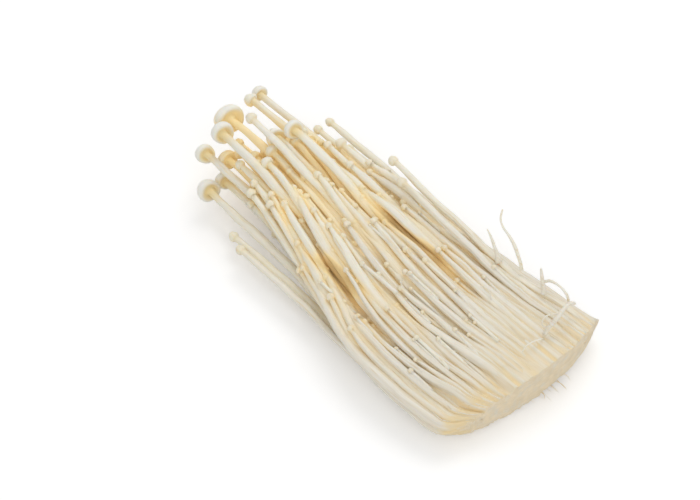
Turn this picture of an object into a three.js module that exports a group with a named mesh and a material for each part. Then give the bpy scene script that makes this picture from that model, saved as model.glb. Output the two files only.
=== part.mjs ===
import * as THREE from 'three';

// A bunch of enoki mushrooms lying on its side, as cut from the block it grew on.
// Millimetres. +X runs from the cut end to the caps, +Y across the bunch, +Z up.
// One compact cut base holds all the feet. Every mushroom, stem and cap, grew as one
// piece. The whole bunch is packed here, foot by foot, so that each stem has room among
// its neighbours, and the mushrooms that reach furthest are made as solids.

// Driving dimensions
const BUNCH_LENGTH = 127;
const BASE_DEPTH = 10;
const BASE_HALF_WIDTH = 29.5;
const BASE_HEIGHT = 13.5;
const SHOULDER = 7;
const SHOULDER_DEPTH = 9;
const SECTION_POWER = 2.6;
const FLAT_SINK = 0.5;
const MOST_MUSHROOMS = 59;

// Air between solids, and between the foot of a stem and the base
const GAP = 0.3;

// Feet
const FOOT_SPACING = 1.85;
const FOOT_JITTER = 0.3;
const FOOT_RADIUS = 0.7;
const FOOT_SPLAY = 1.25;

// Stems
const THIN_STEM = 0.75;
const THICK_STEM = 1.16;
const STEM_SPREAD = 0.08;
const STEM_POWER = 1.5;
const FULL_GIRTH_AT = 65;

// Caps
const SMALL_CAP = 1.1;
const LARGE_CAP = 2.1;
const LARGEST_CAP = 3.5;
const CAP_POWER = 3;
const CAP_SPREAD = 0.6;
const SMALL_CAP_HEIGHT = 1.25;
const LARGE_CAP_HEIGHT = 0.95;
const CAP_ROOM = 1.06;
const STEM_IN_CAP = 0.15;
const CAP_OUTLINE = [
	// share of the cap's radius, share of its height
	[0.86, 0],
	[1, 0.3],
	[0.84, 0.68],
	[0.48, 0.93],
];

// How far the mushrooms reach along x
const SHORTEST = 30;
const LONGEST = 110;
const FURTHEST = 120;
const REACH_POWER = 0.9;
const REACH_SPREAD = 15;
const SHORT_DEPTH = 9;
const ENDED_SHARE = 0.75;
const SIDE_LOSS = 34;
const SIDE_POWER = 2.5;

// How the bunch is shaped along its length
const STATION_STEP = 4;
const STATIONS = Math.ceil((BUNCH_LENGTH - BASE_DEPTH) / STATION_STEP) + 1;
const OUTLINE = [
	// x, middle across, half width, height
	[0, 0, BASE_HALF_WIDTH, BASE_HEIGHT],
	[BASE_DEPTH, 0, BASE_HALF_WIDTH, BASE_HEIGHT],
	[25, 2.5, 29, 16],
	[40, 2.5, 28, 18.5],
	[55, 1, 25, 20],
	[68, -0.5, 23, 21.5],
	[92, -3, 20, 23],
	[BUNCH_LENGTH, 1.5, 12.5, 27],
];

// Mushrooms that stand out from the bunch: reach along x, across, height, cap radius, and
// how late they bend away from it
const OUTSTANDING = [
	[125, 3.3, 23, 3.4, 2],
	[120, 9, 23.5, 3.5, 2],
	[122.5, 12.5, 16, 2.4, 2],
	[124, -6.3, 23, 2.2, 2],
	[127, -11.4, 20, 2.5, 2],
	[117.5, 9.5, 15, 2.3, 2],
	[114.5, 1, 27, 1.7, 2],
	[108.5, -2, 23.5, 2.2, 2],
	[105, -6, 26.5, 2.1, 2],
	[107, -23, 14, 1.4, 2],
	[105.5, -17, 16, 1.5, 2],
	[94.5, -16, 20, 1.3, 2],
	[75.5, -19.5, 26, 1.1, 7],
	[68.5, -16, 24.5, 1.1, 7],
	[97.5, 23.5, 6, 1.5, 2],
	[91.5, 26.4, 7, 1.4, 2],
	[105, 7, 19, 1.7, 2],
	[115.5, 20.5, 8.5, 3, 2],
	[116, 12, 8, 2.9, 2],
];

// Packing
const CLEARANCE = 0.1;
const SOLID_CLEARANCE = 0.5;
const ROUNDS = 240;
const PUSH = 0.5;
const STIFFNESS = 0.45;
const STIFF_PASSES = 2;
const HOME_PULL = 0.06;
const END_HOLD = 0.3;
const OUTSTANDING_HOLD = 0.8;
const FREE_LENGTH = 50;
const FREE_PLAY = 0.6;
const HIGHEST_SHARE = 0.97;

// Facets
const STEM_SIDES = 6;
const RING_STEP = 8.5;
const BASE_SIDES = 56;
const BASE_STEPS = 4;

const IVORY = 0xe9dfc8;
const CREAM = 0xeddfba;
const CUT = 0xdccfb6;

const random = seededRandom( 27 );
const outline = outlineCurve();

function seededRandom( seed ) {

	let state = seed;
	return () => {

		state = ( state + 0x6d2b79f5 ) | 0;
		let t = Math.imul( state ^ ( state >>> 15 ), 1 | state );
		t = ( t + Math.imul( t ^ ( t >>> 7 ), 61 | t ) ) ^ t;
		return ( ( t ^ ( t >>> 14 ) ) >>> 0 ) / 4294967296;

	};

}

function between( low, high ) {

	return low + ( high - low ) * random();

}

// The bunch's cross-section at x: where its middle lies, its half width and its height.
function outlineCurve() {

	const places = OUTLINE.map( ( row ) => row[ 0 ] );
	const values = OUTLINE.flatMap( ( row ) => row.slice( 1 ) );
	const curve = new THREE.CubicInterpolant( places, values, 3 );
	return ( x ) => {

		const [ middle, halfWidth, height ] = curve.evaluate( x );
		return { middle, halfWidth, height };

	};

}

function stationX( k ) {

	return BASE_DEPTH + 2 * GAP + k * STATION_STEP;

}

// How far out a point lies in a section, where 1 is on its skin.
function outness( section, y, z, inset ) {

	const across = Math.abs( y - section.middle ) / ( section.halfWidth - inset );
	const half = section.height / 2;
	const upward = Math.abs( z - half ) / ( half - inset );
	return ( across ** SECTION_POWER + upward ** SECTION_POWER ) ** ( 1 / SECTION_POWER );

}

// The height of a section's top at y.
function topOf( section, y ) {

	const across = Math.min( Math.abs( y - section.middle ) / section.halfWidth, 1 );
	const share = ( 1 - across ** SECTION_POWER ) ** ( 1 / SECTION_POWER );
	return section.height / 2 * ( 1 + share );

}

// The side that lay outside carries the short mushrooms, and is the top of the bunch.
function reachAt( y, z ) {

	const section = outline( BASE_DEPTH );
	const depth = THREE.MathUtils.clamp( ( topOf( section, y ) - z ) / SHORT_DEPTH, 0, 1 );
	const across = Math.abs( y - section.middle ) / section.halfWidth;
	const usual = THREE.MathUtils.lerp( SHORTEST, LONGEST, depth ** REACH_POWER );
	const reach = usual + between( - REACH_SPREAD, REACH_SPREAD );
	const furthest = FURTHEST - SIDE_LOSS * across ** SIDE_POWER;
	return Math.min( reach, furthest - between( 0, REACH_SPREAD ) );

}

// Long mushrooms have thicker stems and larger caps than short ones.
function mushroomAt( y, z ) {

	const reach = reachAt( y, z );
	const share = Math.min( reach / BUNCH_LENGTH, 1 );
	const stem = THREE.MathUtils.lerp( THIN_STEM, THICK_STEM, share ** STEM_POWER );
	const grown = share ** CAP_POWER * between( 1 - CAP_SPREAD, 1 );
	return {
		reach,
		stem: stem + between( - STEM_SPREAD, STEM_SPREAD ),
		cap: THREE.MathUtils.lerp( SMALL_CAP, LARGE_CAP, grown ),
		foot: [ y, z ],
		end: null,
	};

}

// Feet stand in staggered rows that fill the section of the cut base.
function plantFeet() {

	const section = outline( BASE_DEPTH );
	const rowSpacing = FOOT_SPACING * Math.sqrt( 3 ) / 2;
	const rows = Math.ceil( section.height / rowSpacing );
	const columns = Math.ceil( 2 * section.halfWidth / FOOT_SPACING );
	const mushrooms = [];
	for ( let row = 0; row < rows; row ++ ) {

		for ( let column = 0; column < columns; column ++ ) {

			const across = ( column + ( row % 2 ) / 2 ) * FOOT_SPACING;
			const y = section.middle - section.halfWidth + across + between( - FOOT_JITTER, FOOT_JITTER );
			const z = FOOT_RADIUS + row * rowSpacing + between( - FOOT_JITTER, FOOT_JITTER );
			if ( outness( section, y, z, FOOT_RADIUS ) < 1 ) mushrooms.push( mushroomAt( y, z ) );

		}

	}

	return mushrooms;

}

// Each outstanding mushroom grows from the free foot that lies nearest its own line.
function placeOutstanding( mushrooms ) {

	for ( const [ reach, y, z, cap, bend ] of OUTSTANDING ) {

		const footY = FOOT_SPLAY * y;
		const footZ = z / outline( reach ).height * heightGoingOn( reach );
		const free = mushrooms.filter( ( m ) => m.end === null );
		const away = ( m ) => Math.hypot( m.foot[ 0 ] - footY, m.foot[ 1 ] - footZ );
		const chosen = free.reduce( ( best, m ) => ( away( m ) < away( best ) ? m : best ) );
		chosen.reach = reach;
		chosen.cap = cap;
		chosen.stem = THREE.MathUtils.lerp( THIN_STEM, THICK_STEM, Math.min( cap / LARGE_CAP, 1 ) );
		chosen.end = [ y, z ];
		chosen.bend = bend;

	}

}

// The radius of a mushroom at x, which grows from the foot to full girth, then to its cap.
function girth( m, x ) {

	const share = THREE.MathUtils.smoothstep( x, BASE_DEPTH, FULL_GIRTH_AT );
	const stem = THREE.MathUtils.lerp( FOOT_RADIUS, m.stem, share );
	const toCap = Math.abs( x - ( m.reach - m.cap / 2 ) ) / Math.max( m.cap, STATION_STEP );
	return toCap < 1 ? Math.max( stem, CAP_ROOM * m.cap ) : stem;

}

// The height left at x, in the section of the base, over the mushrooms that go on.
function heightGoingOn( x ) {

	const ended = THREE.MathUtils.clamp( ( x - SHORTEST ) / ( LONGEST - SHORTEST ), 0, 1 );
	return BASE_HEIGHT - SHORT_DEPTH * ENDED_SHARE * ended ** ( 1 / REACH_POWER );

}

// The first line of a stem: its foot's place in the section, spread over what is there at x.
function placeInSection( m, x ) {

	const base = outline( BASE_DEPTH );
	const section = outline( x );
	const across = ( m.foot[ 0 ] - base.middle ) / base.halfWidth;
	const upward = Math.min( m.foot[ 1 ] / heightGoingOn( x ), HIGHEST_SHARE );
	return [ section.middle + across * section.halfWidth, upward * section.height ];

}

function layOut( m ) {

	m.last = Math.min( Math.ceil( ( m.reach - stationX( 0 ) ) / STATION_STEP ), STATIONS - 1 );
	const end = placeInSection( m, m.reach );
	const swerve = m.end === null ? [ 0, 0 ] : [ m.end[ 0 ] - end[ 0 ], m.end[ 1 ] - end[ 1 ] ];
	m.points = [];
	for ( let k = 0; k <= m.last; k ++ ) {

		const [ y, z ] = placeInSection( m, stationX( k ) );
		const share = m.end === null ? 0 : ( k / m.last ) ** m.bend;
		m.points.push( [ y + share * swerve[ 0 ], z + share * swerve[ 1 ] ] );

	}

}

// Stems that are too close where they pass a station push each other apart.
function spread( mushrooms, k, order, clearance ) {

	const x = stationX( k );
	const live = mushrooms.filter( ( m ) => m.last >= k );
	live.sort( ( a, b ) => order * ( a.points[ k ][ 0 ] - b.points[ k ][ 0 ] ) );
	const radii = live.map( ( m ) => girth( m, x ) + clearance / 2 );
	const furthest = 2 * Math.max( ...radii );
	for ( let i = 0; i < live.length; i ++ ) {

		for ( let j = i + 1; j < live.length; j ++ ) {

			const a = live[ i ].points[ k ];
			const b = live[ j ].points[ k ];
			const dy = b[ 0 ] - a[ 0 ];
			if ( Math.abs( dy ) > furthest ) break;
			const dz = b[ 1 ] - a[ 1 ];
			const apart = Math.hypot( dy, dz );
			const lacking = radii[ i ] + radii[ j ] - apart;
			if ( lacking > 0 && apart > 0 ) {

				const move = PUSH * lacking / apart;
				a[ 0 ] -= dy * move;
				a[ 1 ] -= dz * move;
				b[ 0 ] += dy * move;
				b[ 1 ] += dz * move;

			}

		}

	}

	live.forEach( ( m, i ) => keepInside( m, k, radii[ i ] ) );

}

// Only the ends of outstanding mushrooms leave the outline, and none sinks below the bunch.
function keepInside( m, k, radius ) {

	const section = outline( stationX( k ) );
	const point = m.points[ k ];
	const freed = THREE.MathUtils.smoothstep( stationX( k ), m.reach - FREE_LENGTH, m.reach );
	const limit = m.end === null ? 1 : 1 + FREE_PLAY * freed;
	const out = outness( section, point[ 0 ], point[ 1 ], radius ) / limit;
	if ( out > 1 ) {

		const half = section.height / 2;
		point[ 0 ] = section.middle + ( point[ 0 ] - section.middle ) / out;
		point[ 1 ] = half + ( point[ 1 ] - half ) / out;

	}

	point[ 1 ] = Math.max( point[ 1 ], radius );

}

// A stem grew up its own line, and is drawn back to it.
function settle( { points, home } ) {

	points.forEach( ( point, k ) => {

		point[ 0 ] += HOME_PULL * ( home[ k ][ 0 ] - point[ 0 ] );
		point[ 1 ] += HOME_PULL * ( home[ k ][ 1 ] - point[ 1 ] );

	} );

}

// A stem is stiff, so each of its points is drawn towards the line of its neighbours.
function straighten( { points, last, end } ) {

	for ( const axis of [ 0, 1 ] ) {

		for ( let k = 1; k < last; k ++ ) {

			const middle = ( points[ k - 1 ][ axis ] + points[ k + 1 ][ axis ] ) / 2;
			points[ k ][ axis ] += STIFFNESS * ( middle - points[ k ][ axis ] );

		}

		const onward = 2 * points[ last - 1 ][ axis ] - points[ last - 2 ][ axis ];
		const [ goal, hold ] = end === null ? [ onward, END_HOLD ] : [ end[ axis ], OUTSTANDING_HOLD ];
		points[ last ][ axis ] += hold * ( goal - points[ last ][ axis ] );

	}

}

// Packs mushrooms until each has room, with this much air between any two.
function pack( mushrooms, clearance ) {

	for ( const m of mushrooms ) m.home = m.points.map( ( point ) => [ ...point ] );
	for ( let round = 0; round < ROUNDS; round ++ ) {

		const order = round % 2 ? 1 : - 1;
		for ( let k = 0; k < STATIONS; k ++ ) spread( mushrooms, k, order, clearance );
		for ( let pass = 0; pass < STIFF_PASSES; pass ++ ) mushrooms.forEach( straighten );
		mushrooms.forEach( settle );

	}

}

// The mushrooms made as solids: the outstanding ones, then those that reach furthest.
function chooseSolids( mushrooms ) {

	const byReach = [ ...mushrooms ].sort( ( a, b ) => b.reach - a.reach );
	const others = byReach.filter( ( m ) => m.end === null );
	const outstanding = mushrooms.filter( ( m ) => m.end !== null );
	return [ ...outstanding, ...others.slice( 0, MOST_MUSHROOMS - outstanding.length ) ];

}

// The line through a mushroom's middle, up to the top of its cap.
function centreLine( m ) {

	const points = m.points.map( ( p, k ) => new THREE.Vector3( stationX( k ), ...p ) );
	const [ before, last ] = points.slice( - 2 );
	const share = ( m.reach - before.x ) / ( last.x - before.x );
	points[ points.length - 1 ] = before.clone().lerp( last, share );
	return new THREE.CatmullRomCurve3( points, false, 'centripetal' );

}

// Half the outline of a straight mushroom: foot, stem, the cap's rolled margin and dome.
function mushroomProfile( m, length ) {

	const large = THREE.MathUtils.smoothstep( m.cap, SMALL_CAP, LARGEST_CAP );
	const height = m.cap * THREE.MathUtils.lerp( SMALL_CAP_HEIGHT, LARGE_CAP_HEIGHT, large );
	const under = length - height;
	const rings = Math.round( under / RING_STEP );
	const profile = [ new THREE.Vector2( 0, 0 ) ];
	for ( let ring = 0; ring <= rings; ring ++ ) {

		const along = ring / rings * ( under + STEM_IN_CAP * height );
		const share = THREE.MathUtils.smoothstep( BASE_DEPTH + along, BASE_DEPTH, FULL_GIRTH_AT );
		profile.push( new THREE.Vector2( THREE.MathUtils.lerp( FOOT_RADIUS, m.stem, share ), along ) );

	}

	for ( const [ radius, rise ] of CAP_OUTLINE ) {

		profile.push( new THREE.Vector2( radius * m.cap, under + rise * height ) );

	}

	profile.push( new THREE.Vector2( 0, length ) );
	return profile;

}

// Bends a shape that stands along +Y so that it follows the line.
function bendAlong( geometry, line, length ) {

	const up = new THREE.Vector3( 0, 0, 1 );
	const place = geometry.getAttribute( 'position' );
	for ( let i = 0; i < place.count; i ++ ) {

		const along = THREE.MathUtils.clamp( place.getY( i ) / length, 0, 1 );
		const tangent = line.getTangentAt( along );
		const side = new THREE.Vector3().crossVectors( up, tangent ).normalize();
		const over = new THREE.Vector3().crossVectors( side, tangent );
		const point = line.getPointAt( along );
		point.addScaledVector( side, place.getX( i ) );
		point.addScaledVector( over, place.getZ( i ) );
		place.setXYZ( i, point.x, point.y, point.z );

	}

	geometry.computeVertexNormals();
	return geometry;

}

function makeMushroom( m, number ) {

	const line = centreLine( m );
	const length = line.getLength();
	const straight = new THREE.LatheGeometry( mushroomProfile( m, length ), STEM_SIDES );
	const material = new THREE.MeshStandardMaterial( {
		color: m.cap > LARGE_CAP ? CREAM : IVORY,
		roughness: 0.55,
		metalness: 0,
	} );
	const mesh = new THREE.Mesh( bendAlong( straight, line, length ), material );
	mesh.name = 'mushroom_' + String( number + 1 ).padStart( 2, '0' );
	return mesh;

}

// A sine or cosine swollen, so that it draws the section's squarish oval.
function squared( value ) {

	return Math.sign( value ) * Math.abs( value ) ** ( 2 / SECTION_POWER );

}

// The base's section, with the flat that the bunch lies on.
function baseShape() {

	const { middle, halfWidth, height } = outline( BASE_DEPTH );
	const points = [];
	for ( let i = 0; i < BASE_SIDES; i ++ ) {

		const angle = i / BASE_SIDES * Math.PI * 2;
		const across = squared( Math.cos( angle ) );
		const z = ( height + FLAT_SINK ) / 2 * ( 1 + squared( Math.sin( angle ) ) ) - FLAT_SINK;
		points.push( new THREE.Vector2( middle + across * halfWidth, Math.max( z, 0 ) ) );

	}

	return new THREE.Shape( points );

}

// The cut base is rounded off at one corner, where the outer stems bend in to the root.
function makeCutBase() {

	const solid = new THREE.ExtrudeGeometry( baseShape(), {
		depth: BASE_DEPTH,
		steps: BASE_STEPS,
		bevelEnabled: false,
	} );
	const place = solid.getAttribute( 'position' );
	for ( let i = 0; i < place.count; i ++ ) {

		const [ y, z, x ] = [ place.getX( i ), place.getY( i ), place.getZ( i ) ];
		const short = Math.max( 1 - x / SHOULDER_DEPTH, 0 ) ** 2;
		const outer = Math.max( y / BASE_HALF_WIDTH, 0 ) ** 2;
		place.setXYZ( i, x, y - SHOULDER * short * outer, z );

	}

	solid.computeVertexNormals();
	const material = new THREE.MeshStandardMaterial( { color: CUT, roughness: 0.8, metalness: 0 } );
	const mesh = new THREE.Mesh( solid, material );
	mesh.name = 'cut_base';
	return mesh;

}

// The bunch stands with the middle of its underside at the origin.
function makeBunch() {

	const mushrooms = plantFeet();
	placeOutstanding( mushrooms );
	mushrooms.forEach( layOut );
	pack( mushrooms, CLEARANCE );
	const solids = chooseSolids( mushrooms );
	pack( solids, SOLID_CLEARANCE );
	const bunch = new THREE.Group();
	bunch.add( makeCutBase(), ...solids.map( makeMushroom ) );
	const box = new THREE.Box3().setFromObject( bunch );
	const middle = box.getCenter( new THREE.Vector3() );
	bunch.position.set( - middle.x, - middle.y, - box.min.z );
	return bunch;

}

export default makeBunch();
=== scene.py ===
import functools
import math
from dataclasses import dataclass

import bpy
import numpy as np
from bpy.props import FloatProperty, FloatVectorProperty, IntProperty, PointerProperty
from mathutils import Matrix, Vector


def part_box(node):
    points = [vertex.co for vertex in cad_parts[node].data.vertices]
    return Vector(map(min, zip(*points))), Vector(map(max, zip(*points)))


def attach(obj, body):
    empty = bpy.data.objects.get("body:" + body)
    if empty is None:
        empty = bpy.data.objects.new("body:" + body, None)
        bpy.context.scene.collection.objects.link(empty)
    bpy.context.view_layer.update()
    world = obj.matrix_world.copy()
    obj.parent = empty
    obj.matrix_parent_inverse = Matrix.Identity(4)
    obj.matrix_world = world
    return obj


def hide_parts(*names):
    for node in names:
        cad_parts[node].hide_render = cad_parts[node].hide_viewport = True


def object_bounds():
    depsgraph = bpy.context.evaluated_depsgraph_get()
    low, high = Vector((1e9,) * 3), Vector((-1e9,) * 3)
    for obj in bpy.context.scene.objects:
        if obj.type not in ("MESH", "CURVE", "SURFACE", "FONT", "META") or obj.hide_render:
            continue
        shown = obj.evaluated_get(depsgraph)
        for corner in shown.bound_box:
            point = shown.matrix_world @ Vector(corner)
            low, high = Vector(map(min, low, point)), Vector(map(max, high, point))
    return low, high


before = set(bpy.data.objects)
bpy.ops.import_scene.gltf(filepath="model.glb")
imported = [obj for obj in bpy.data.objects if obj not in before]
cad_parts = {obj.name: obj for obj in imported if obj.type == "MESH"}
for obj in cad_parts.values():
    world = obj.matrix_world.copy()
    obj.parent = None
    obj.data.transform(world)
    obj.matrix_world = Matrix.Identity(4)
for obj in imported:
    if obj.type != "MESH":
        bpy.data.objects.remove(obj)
CAD_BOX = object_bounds()

bl_info = {
    "name": "Enoki Mushroom Bunch",
    "version": (1, 0, 0),
    "blender": (4, 5, 0),
    "location": "3D View > Sidebar > Enoki",
    "description": "Dresses the solids of a cut bunch of enoki mushrooms",
    "category": "Add Mesh",
}

# Shapes are worked out in millimetres, in the bunch's own coordinates: x from the cut face
# towards the caps, y across from the middle of the base, z up from the surface.
MM = 0.001
BASE_LOW, BASE_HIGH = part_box("cut_base")
ORIGIN = np.array([BASE_LOW[0], (BASE_LOW[1] + BASE_HIGH[1]) / 2, 0.0])
BASE_DEPTH = (BASE_HIGH[0] - BASE_LOW[0]) / MM
BASE_HALF_WIDTH = (BASE_HIGH[1] - BASE_LOW[1]) / 2 / MM
BASE_HEIGHT = (BASE_HIGH[2] - BASE_LOW[2]) / MM
BUNCH_LENGTH = (CAD_BOX[1][0] - CAD_BOX[0][0]) / MM

# The bunch's section along its length: x, middle across, half width, height.
OUTLINE = np.array([
    (0, 0, BASE_HALF_WIDTH, BASE_HEIGHT),
    (BASE_DEPTH, 0, BASE_HALF_WIDTH, BASE_HEIGHT),
    (25, 2.5, 29, 16),
    (40, 2.5, 28, 18.5),
    (55, 1, 25, 20),
    (68, -0.5, 23, 21.5),
    (92, -3, 20, 23),
    (BUNCH_LENGTH, 1.5, 12.5, 27),
])
SECTION_POWER = 2.6

# Mushrooms that show on top of the bunch: reach, across, cap radius, width against round
SHOWING = np.array([
    (104, -5.5, 2.0, 1.9),
    (99.5, 14.5, 1.5, 1.2),
    (95, -10.5, 1.2, 1.9),
    (91.5, 13.5, 1.3, 1.3),
    (91.5, 0.5, 1.5, 1.4),
    (88, -0.5, 1.3, 1.3),
    (69, 5, 1.05, 1.2),
    (67, 8.5, 1.0, 1.2),
    (58, 16, 0.8, 1.3),
    (56.5, 24, 1.2, 1.3),
    (52, -2, 0.9, 1.2),
    (51, 9, 0.8, 1.3),
    (46.5, 3.5, 0.85, 1.3),
    (43.5, 8.5, 0.9, 1.2),
    (41, 16.5, 0.75, 1.2),
    (34, 10, 0.65, 1.1),
    (28, 8.5, 0.65, 1.1),
    (25, 21, 0.65, 1.0),
    (24.5, 3, 0.6, 1.0),
    (22.5, 1.5, 0.65, 1.0),
    (21, 6, 0.65, 1.0),
    (20, 10, 0.6, 1.0),
])

# A gap between stems, painted inside with golden and darker shade: from and to along x, across,
# half width
CHANNELS = np.array([
    (46, 73, -7.2, 1.05),
    (56, 74, 16.5, 1.0),
])

# The corner of the base that is rounded off: how far in, how deep along x, by what share it is
# lower, and how far from the middle it is lower by all of that share
SHOULDER = 8.5
SHOULDER_DEPTH = 9.0
SHOULDER_DROP = 0.25
SHOULDER_AT = 26.0

# How far the lower edge of the cut is drawn up, along most of it and at the other corner, and
# between which distances from the middle it goes from the first to the second
EDGE_LIFT = 0.9
CORNER_LIFT = 2.2
CORNER_FROM = 14.0
CORNER_TO = 27.0

# The cut isn't flat: how far its middle stands out, and how far its lower edge does beyond its
# top. Then its two ends: the way they lie, how far back they go, where that starts, over what
# width, and how late in it. It goes on a little past that width.
FACE_BULGE = 1.1
FACE_LEAN = -0.4
FACE_ENDS = ((1, 4.6, -8.0, 30.5, 1.7), (-1, 3.8, 8.0, 21.5, 2.2))
PAST_END = 1.05

# What lies within this depth of the cut is cut flesh.
CUT_DEPTH = 0.2

# Nothing is lower than the first, and what is less than the second above it is pressed to it.
FLOOR_GAP = 0.04
PRESSED = 0.5

# Where the short mushrooms are placed along x, from the ends of the solids' feet on, and a
# distance for what isn't there
STATION_STEP = 4.0
STATIONS = BASE_DEPTH + 0.6 + STATION_STEP * np.arange(30)
FAR_AWAY = 900.0

# Their feet: the lowest row, the rows' distance against the feet's, how irregular they are, and
# how near they come to the edge and to a solid's foot
FIRST_ROW = 0.9
ROW_SHARE = 0.8
FOOT_JITTER = 0.6
EDGE_GAP = 0.6
FOOT_GAP = 1.5

# How far they reach: those down to the first depth below the top are short, the height that has
# ended falls with x, and the two sides fall short
SHORT_DEPTH = 9.0
ENDED_SHARE = 0.75
REACH_POWER = 0.9
SIDE_EXTRA = 10.0
SIDE_LOSS = 34.0
SIDE_POWER = 2.5
HIGHEST_SHARE = 0.97

# Those that would fill a channel: how deep below the top, how near, and how far before it they end
CHANNEL_CLEAR = 4.5
CHANNEL_BESIDE = 0.8
CHANNEL_BEFORE = (2, 14)

# How unequal they are: from and to which share of the usual stem, foot, growth and cap, how much
# wider than round a stem is at most, and how thick it is against its cap at most
STEM_RANGE = (0.85, 1.2)
FOOT_RANGE = (0.65, 1.45)
GROWN_RANGE = (0.4, 1)
CAP_RANGE = (0.92, 1.12)
EXTRA_WIDTH = 0.7
STEM_IN_CAP = 0.85

# A mushroom that shows ends this share of its cap's radius below the bunch's skin. A line has no
# place that is nearer to its end than the second share of a step.
SHOWING_SUNK = 0.6
TOO_NEAR = 0.35

# Pushing them apart: rounds and strengths; then the share of a foot's radius that takes up room,
# the radius of the solids' feet, where stems have their full girth, and a cap's room
PACK_ROUNDS = 150
PUSH = 0.4
STIFFNESS = 0.45
HOME_PULL = 0.06
END_HOLD = 0.3
FOOT_GIRTH = 0.85
SOLID_FOOT = 0.8
FULL_GIRTH_AT = 65.0
CAP_ROOM = 1.02

# Caps near the top that sink between their neighbours: how many, how deep, and over what length
TOP_LAYER = 4.0
SINKING_SHARE = 0.7
SINKING = 1.9
SINKING_RUN = 18.0


# ---------------------------------------------------------------- settings


class ENOKI_PG_mushrooms(bpy.types.PropertyGroup):
    """Sizes of stems and caps, in millimetres"""

    seed: IntProperty(name="Seed", description="Chooses the natural variation", default=27)
    foot_spacing: FloatProperty(
        name="Foot spacing", description="Distance between the feet of neighbours, mm",
        default=1.8, min=0.5,
    )
    foot_radius: FloatProperty(
        name="Foot radius", description="Stem radius where the feet grow together, mm",
        default=1.04, min=0.3,
    )
    thin_stem: FloatProperty(
        name="Thin stem", description="Radius of the shortest mushrooms' stems, mm",
        default=0.82, min=0.2,
    )
    thick_stem: FloatProperty(
        name="Thick stem", description="Radius of the longest mushrooms' stems, mm",
        default=1.16, min=0.2,
    )
    small_cap: FloatProperty(
        name="Small cap", description="Radius of the shortest mushrooms' caps, mm",
        default=0.9, min=0.3,
    )
    large_cap: FloatProperty(
        name="Large cap", description="Radius of the longer mushrooms' caps, mm",
        default=1.8, min=0.3,
    )
    shortest: FloatProperty(
        name="Shortest reach", description="How far the shortest mushrooms reach, mm",
        default=48.0, min=12.0,
    )
    longest: FloatProperty(
        name="Longest reach", description="How far the longest of the filling reach, mm",
        default=110.0, min=20.0,
    )
    reach_spread: FloatProperty(
        name="Reach spread", description="How unequal neighbours are, mm", default=15.0, min=0.0,
    )
    pins: IntProperty(name="Pins", description="How many tiny pins lie on top", default=26, min=0)
    fibres: IntProperty(
        name="Fibres", description="How many torn fibres hang from the cut's lower edge",
        default=14, min=0,
    )


class ENOKI_PG_finish(bpy.types.PropertyGroup):
    """Colours and surface of the flesh, with the colours of its painted shade and painted glow"""

    ivory: FloatVectorProperty(
        name="Ivory", description="Stems near the base", subtype="COLOR", size=3,
        default=(0.85, 0.8, 0.69), min=0, max=1,
    )
    cream: FloatVectorProperty(
        name="Cream", description="Stems near the caps", subtype="COLOR", size=3,
        default=(0.94, 0.9, 0.77), min=0, max=1,
    )
    cap: FloatVectorProperty(
        name="Cap", description="Top of the caps", subtype="COLOR", size=3,
        default=(0.95, 0.925, 0.84), min=0, max=1,
    )
    # Gold is painted shade under the caps and deep in the cracks; it also gives small caps their
    # cream tint, the dark streaks near the caps and the darker rounds of the cut.
    gold: FloatVectorProperty(
        name="Gold", description="Under the caps, and deep among them", subtype="COLOR", size=3,
        default=(0.93, 0.75, 0.39), min=0, max=1,
    )
    # Beige is the colour of the darker streaks, and of the painted shade in the cracks near the
    # base.
    beige: FloatVectorProperty(
        name="Beige", description="Streaks and cracks near the base", subtype="COLOR", size=3,
        default=(0.8, 0.65, 0.385), min=0, max=1,
    )
    # Painted shade at the bottom of the open gaps between stems.
    inside: FloatVectorProperty(
        name="Inside", description="The bottom of the gaps between stems", subtype="COLOR",
        size=3, default=(0.73, 0.52, 0.24), min=0, max=1,
    )
    pale: FloatVectorProperty(
        name="Pale", description="Streaks where the stems' skin is dry", subtype="COLOR", size=3,
        default=(0.9, 0.88, 0.84), min=0, max=1,
    )
    cut: FloatVectorProperty(
        name="Cut face", description="The sliced end", subtype="COLOR", size=3,
        default=(0.95, 0.81, 0.585), min=0, max=1,
    )
    stem_roughness: FloatProperty(
        name="Stem roughness", description="Dullness of the stems", subtype="FACTOR",
        default=0.42, min=0, max=1,
    )
    cut_roughness: FloatProperty(
        name="Cut roughness", description="Dullness of the sliced end", subtype="FACTOR",
        default=0.72, min=0, max=1,
    )
    # Painted glow: a colour that the flesh gives off in the cracks, standing in for light coming
    # through it.
    painted_crack_glow: FloatVectorProperty(
        name="Glow", description="Light that comes through the flesh in the cracks",
        subtype="COLOR", size=3, default=(0.105, 0.075, 0.035), min=0, max=1,
    )
    glow_depth: FloatProperty(
        name="Glow depth", description="How far light travels inside the flesh", unit="LENGTH",
        default=0.0006, min=0,
    )


class ENOKI_PG_stage(bpy.types.PropertyGroup):
    """Camera, floor and lamps"""

    azimuth: FloatProperty(
        name="Azimuth", description="Where the camera stands round the bunch", subtype="ANGLE",
        default=math.radians(227),
    )
    elevation: FloatProperty(
        name="Elevation", description="How steeply the camera looks down", subtype="ANGLE",
        default=math.radians(50),
    )
    distance: FloatProperty(
        name="Distance", description="From the camera to the bunch", unit="LENGTH", default=0.48,
    )
    aim: FloatVectorProperty(
        name="Aim", description="What the camera looks at, from the cut face's middle, mm",
        subtype="XYZ", size=3, default=(56.7, 14.2, 26.7),
    )
    lens: FloatProperty(name="Lens", description="Focal length, mm", default=90.5, min=1)
    key: FloatProperty(
        name="Key lamp", description="Power of the large lamp behind", unit="POWER", default=1.9,
    )
    fill: FloatProperty(
        name="Fill lamp", description="Power of the lamp in front", unit="POWER", default=1.7,
    )
    ambient: FloatProperty(
        name="Ambient", description="Strength of the light from all round", default=0.6,
    )


# ---------------------------------------------------------------- helpers


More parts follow.
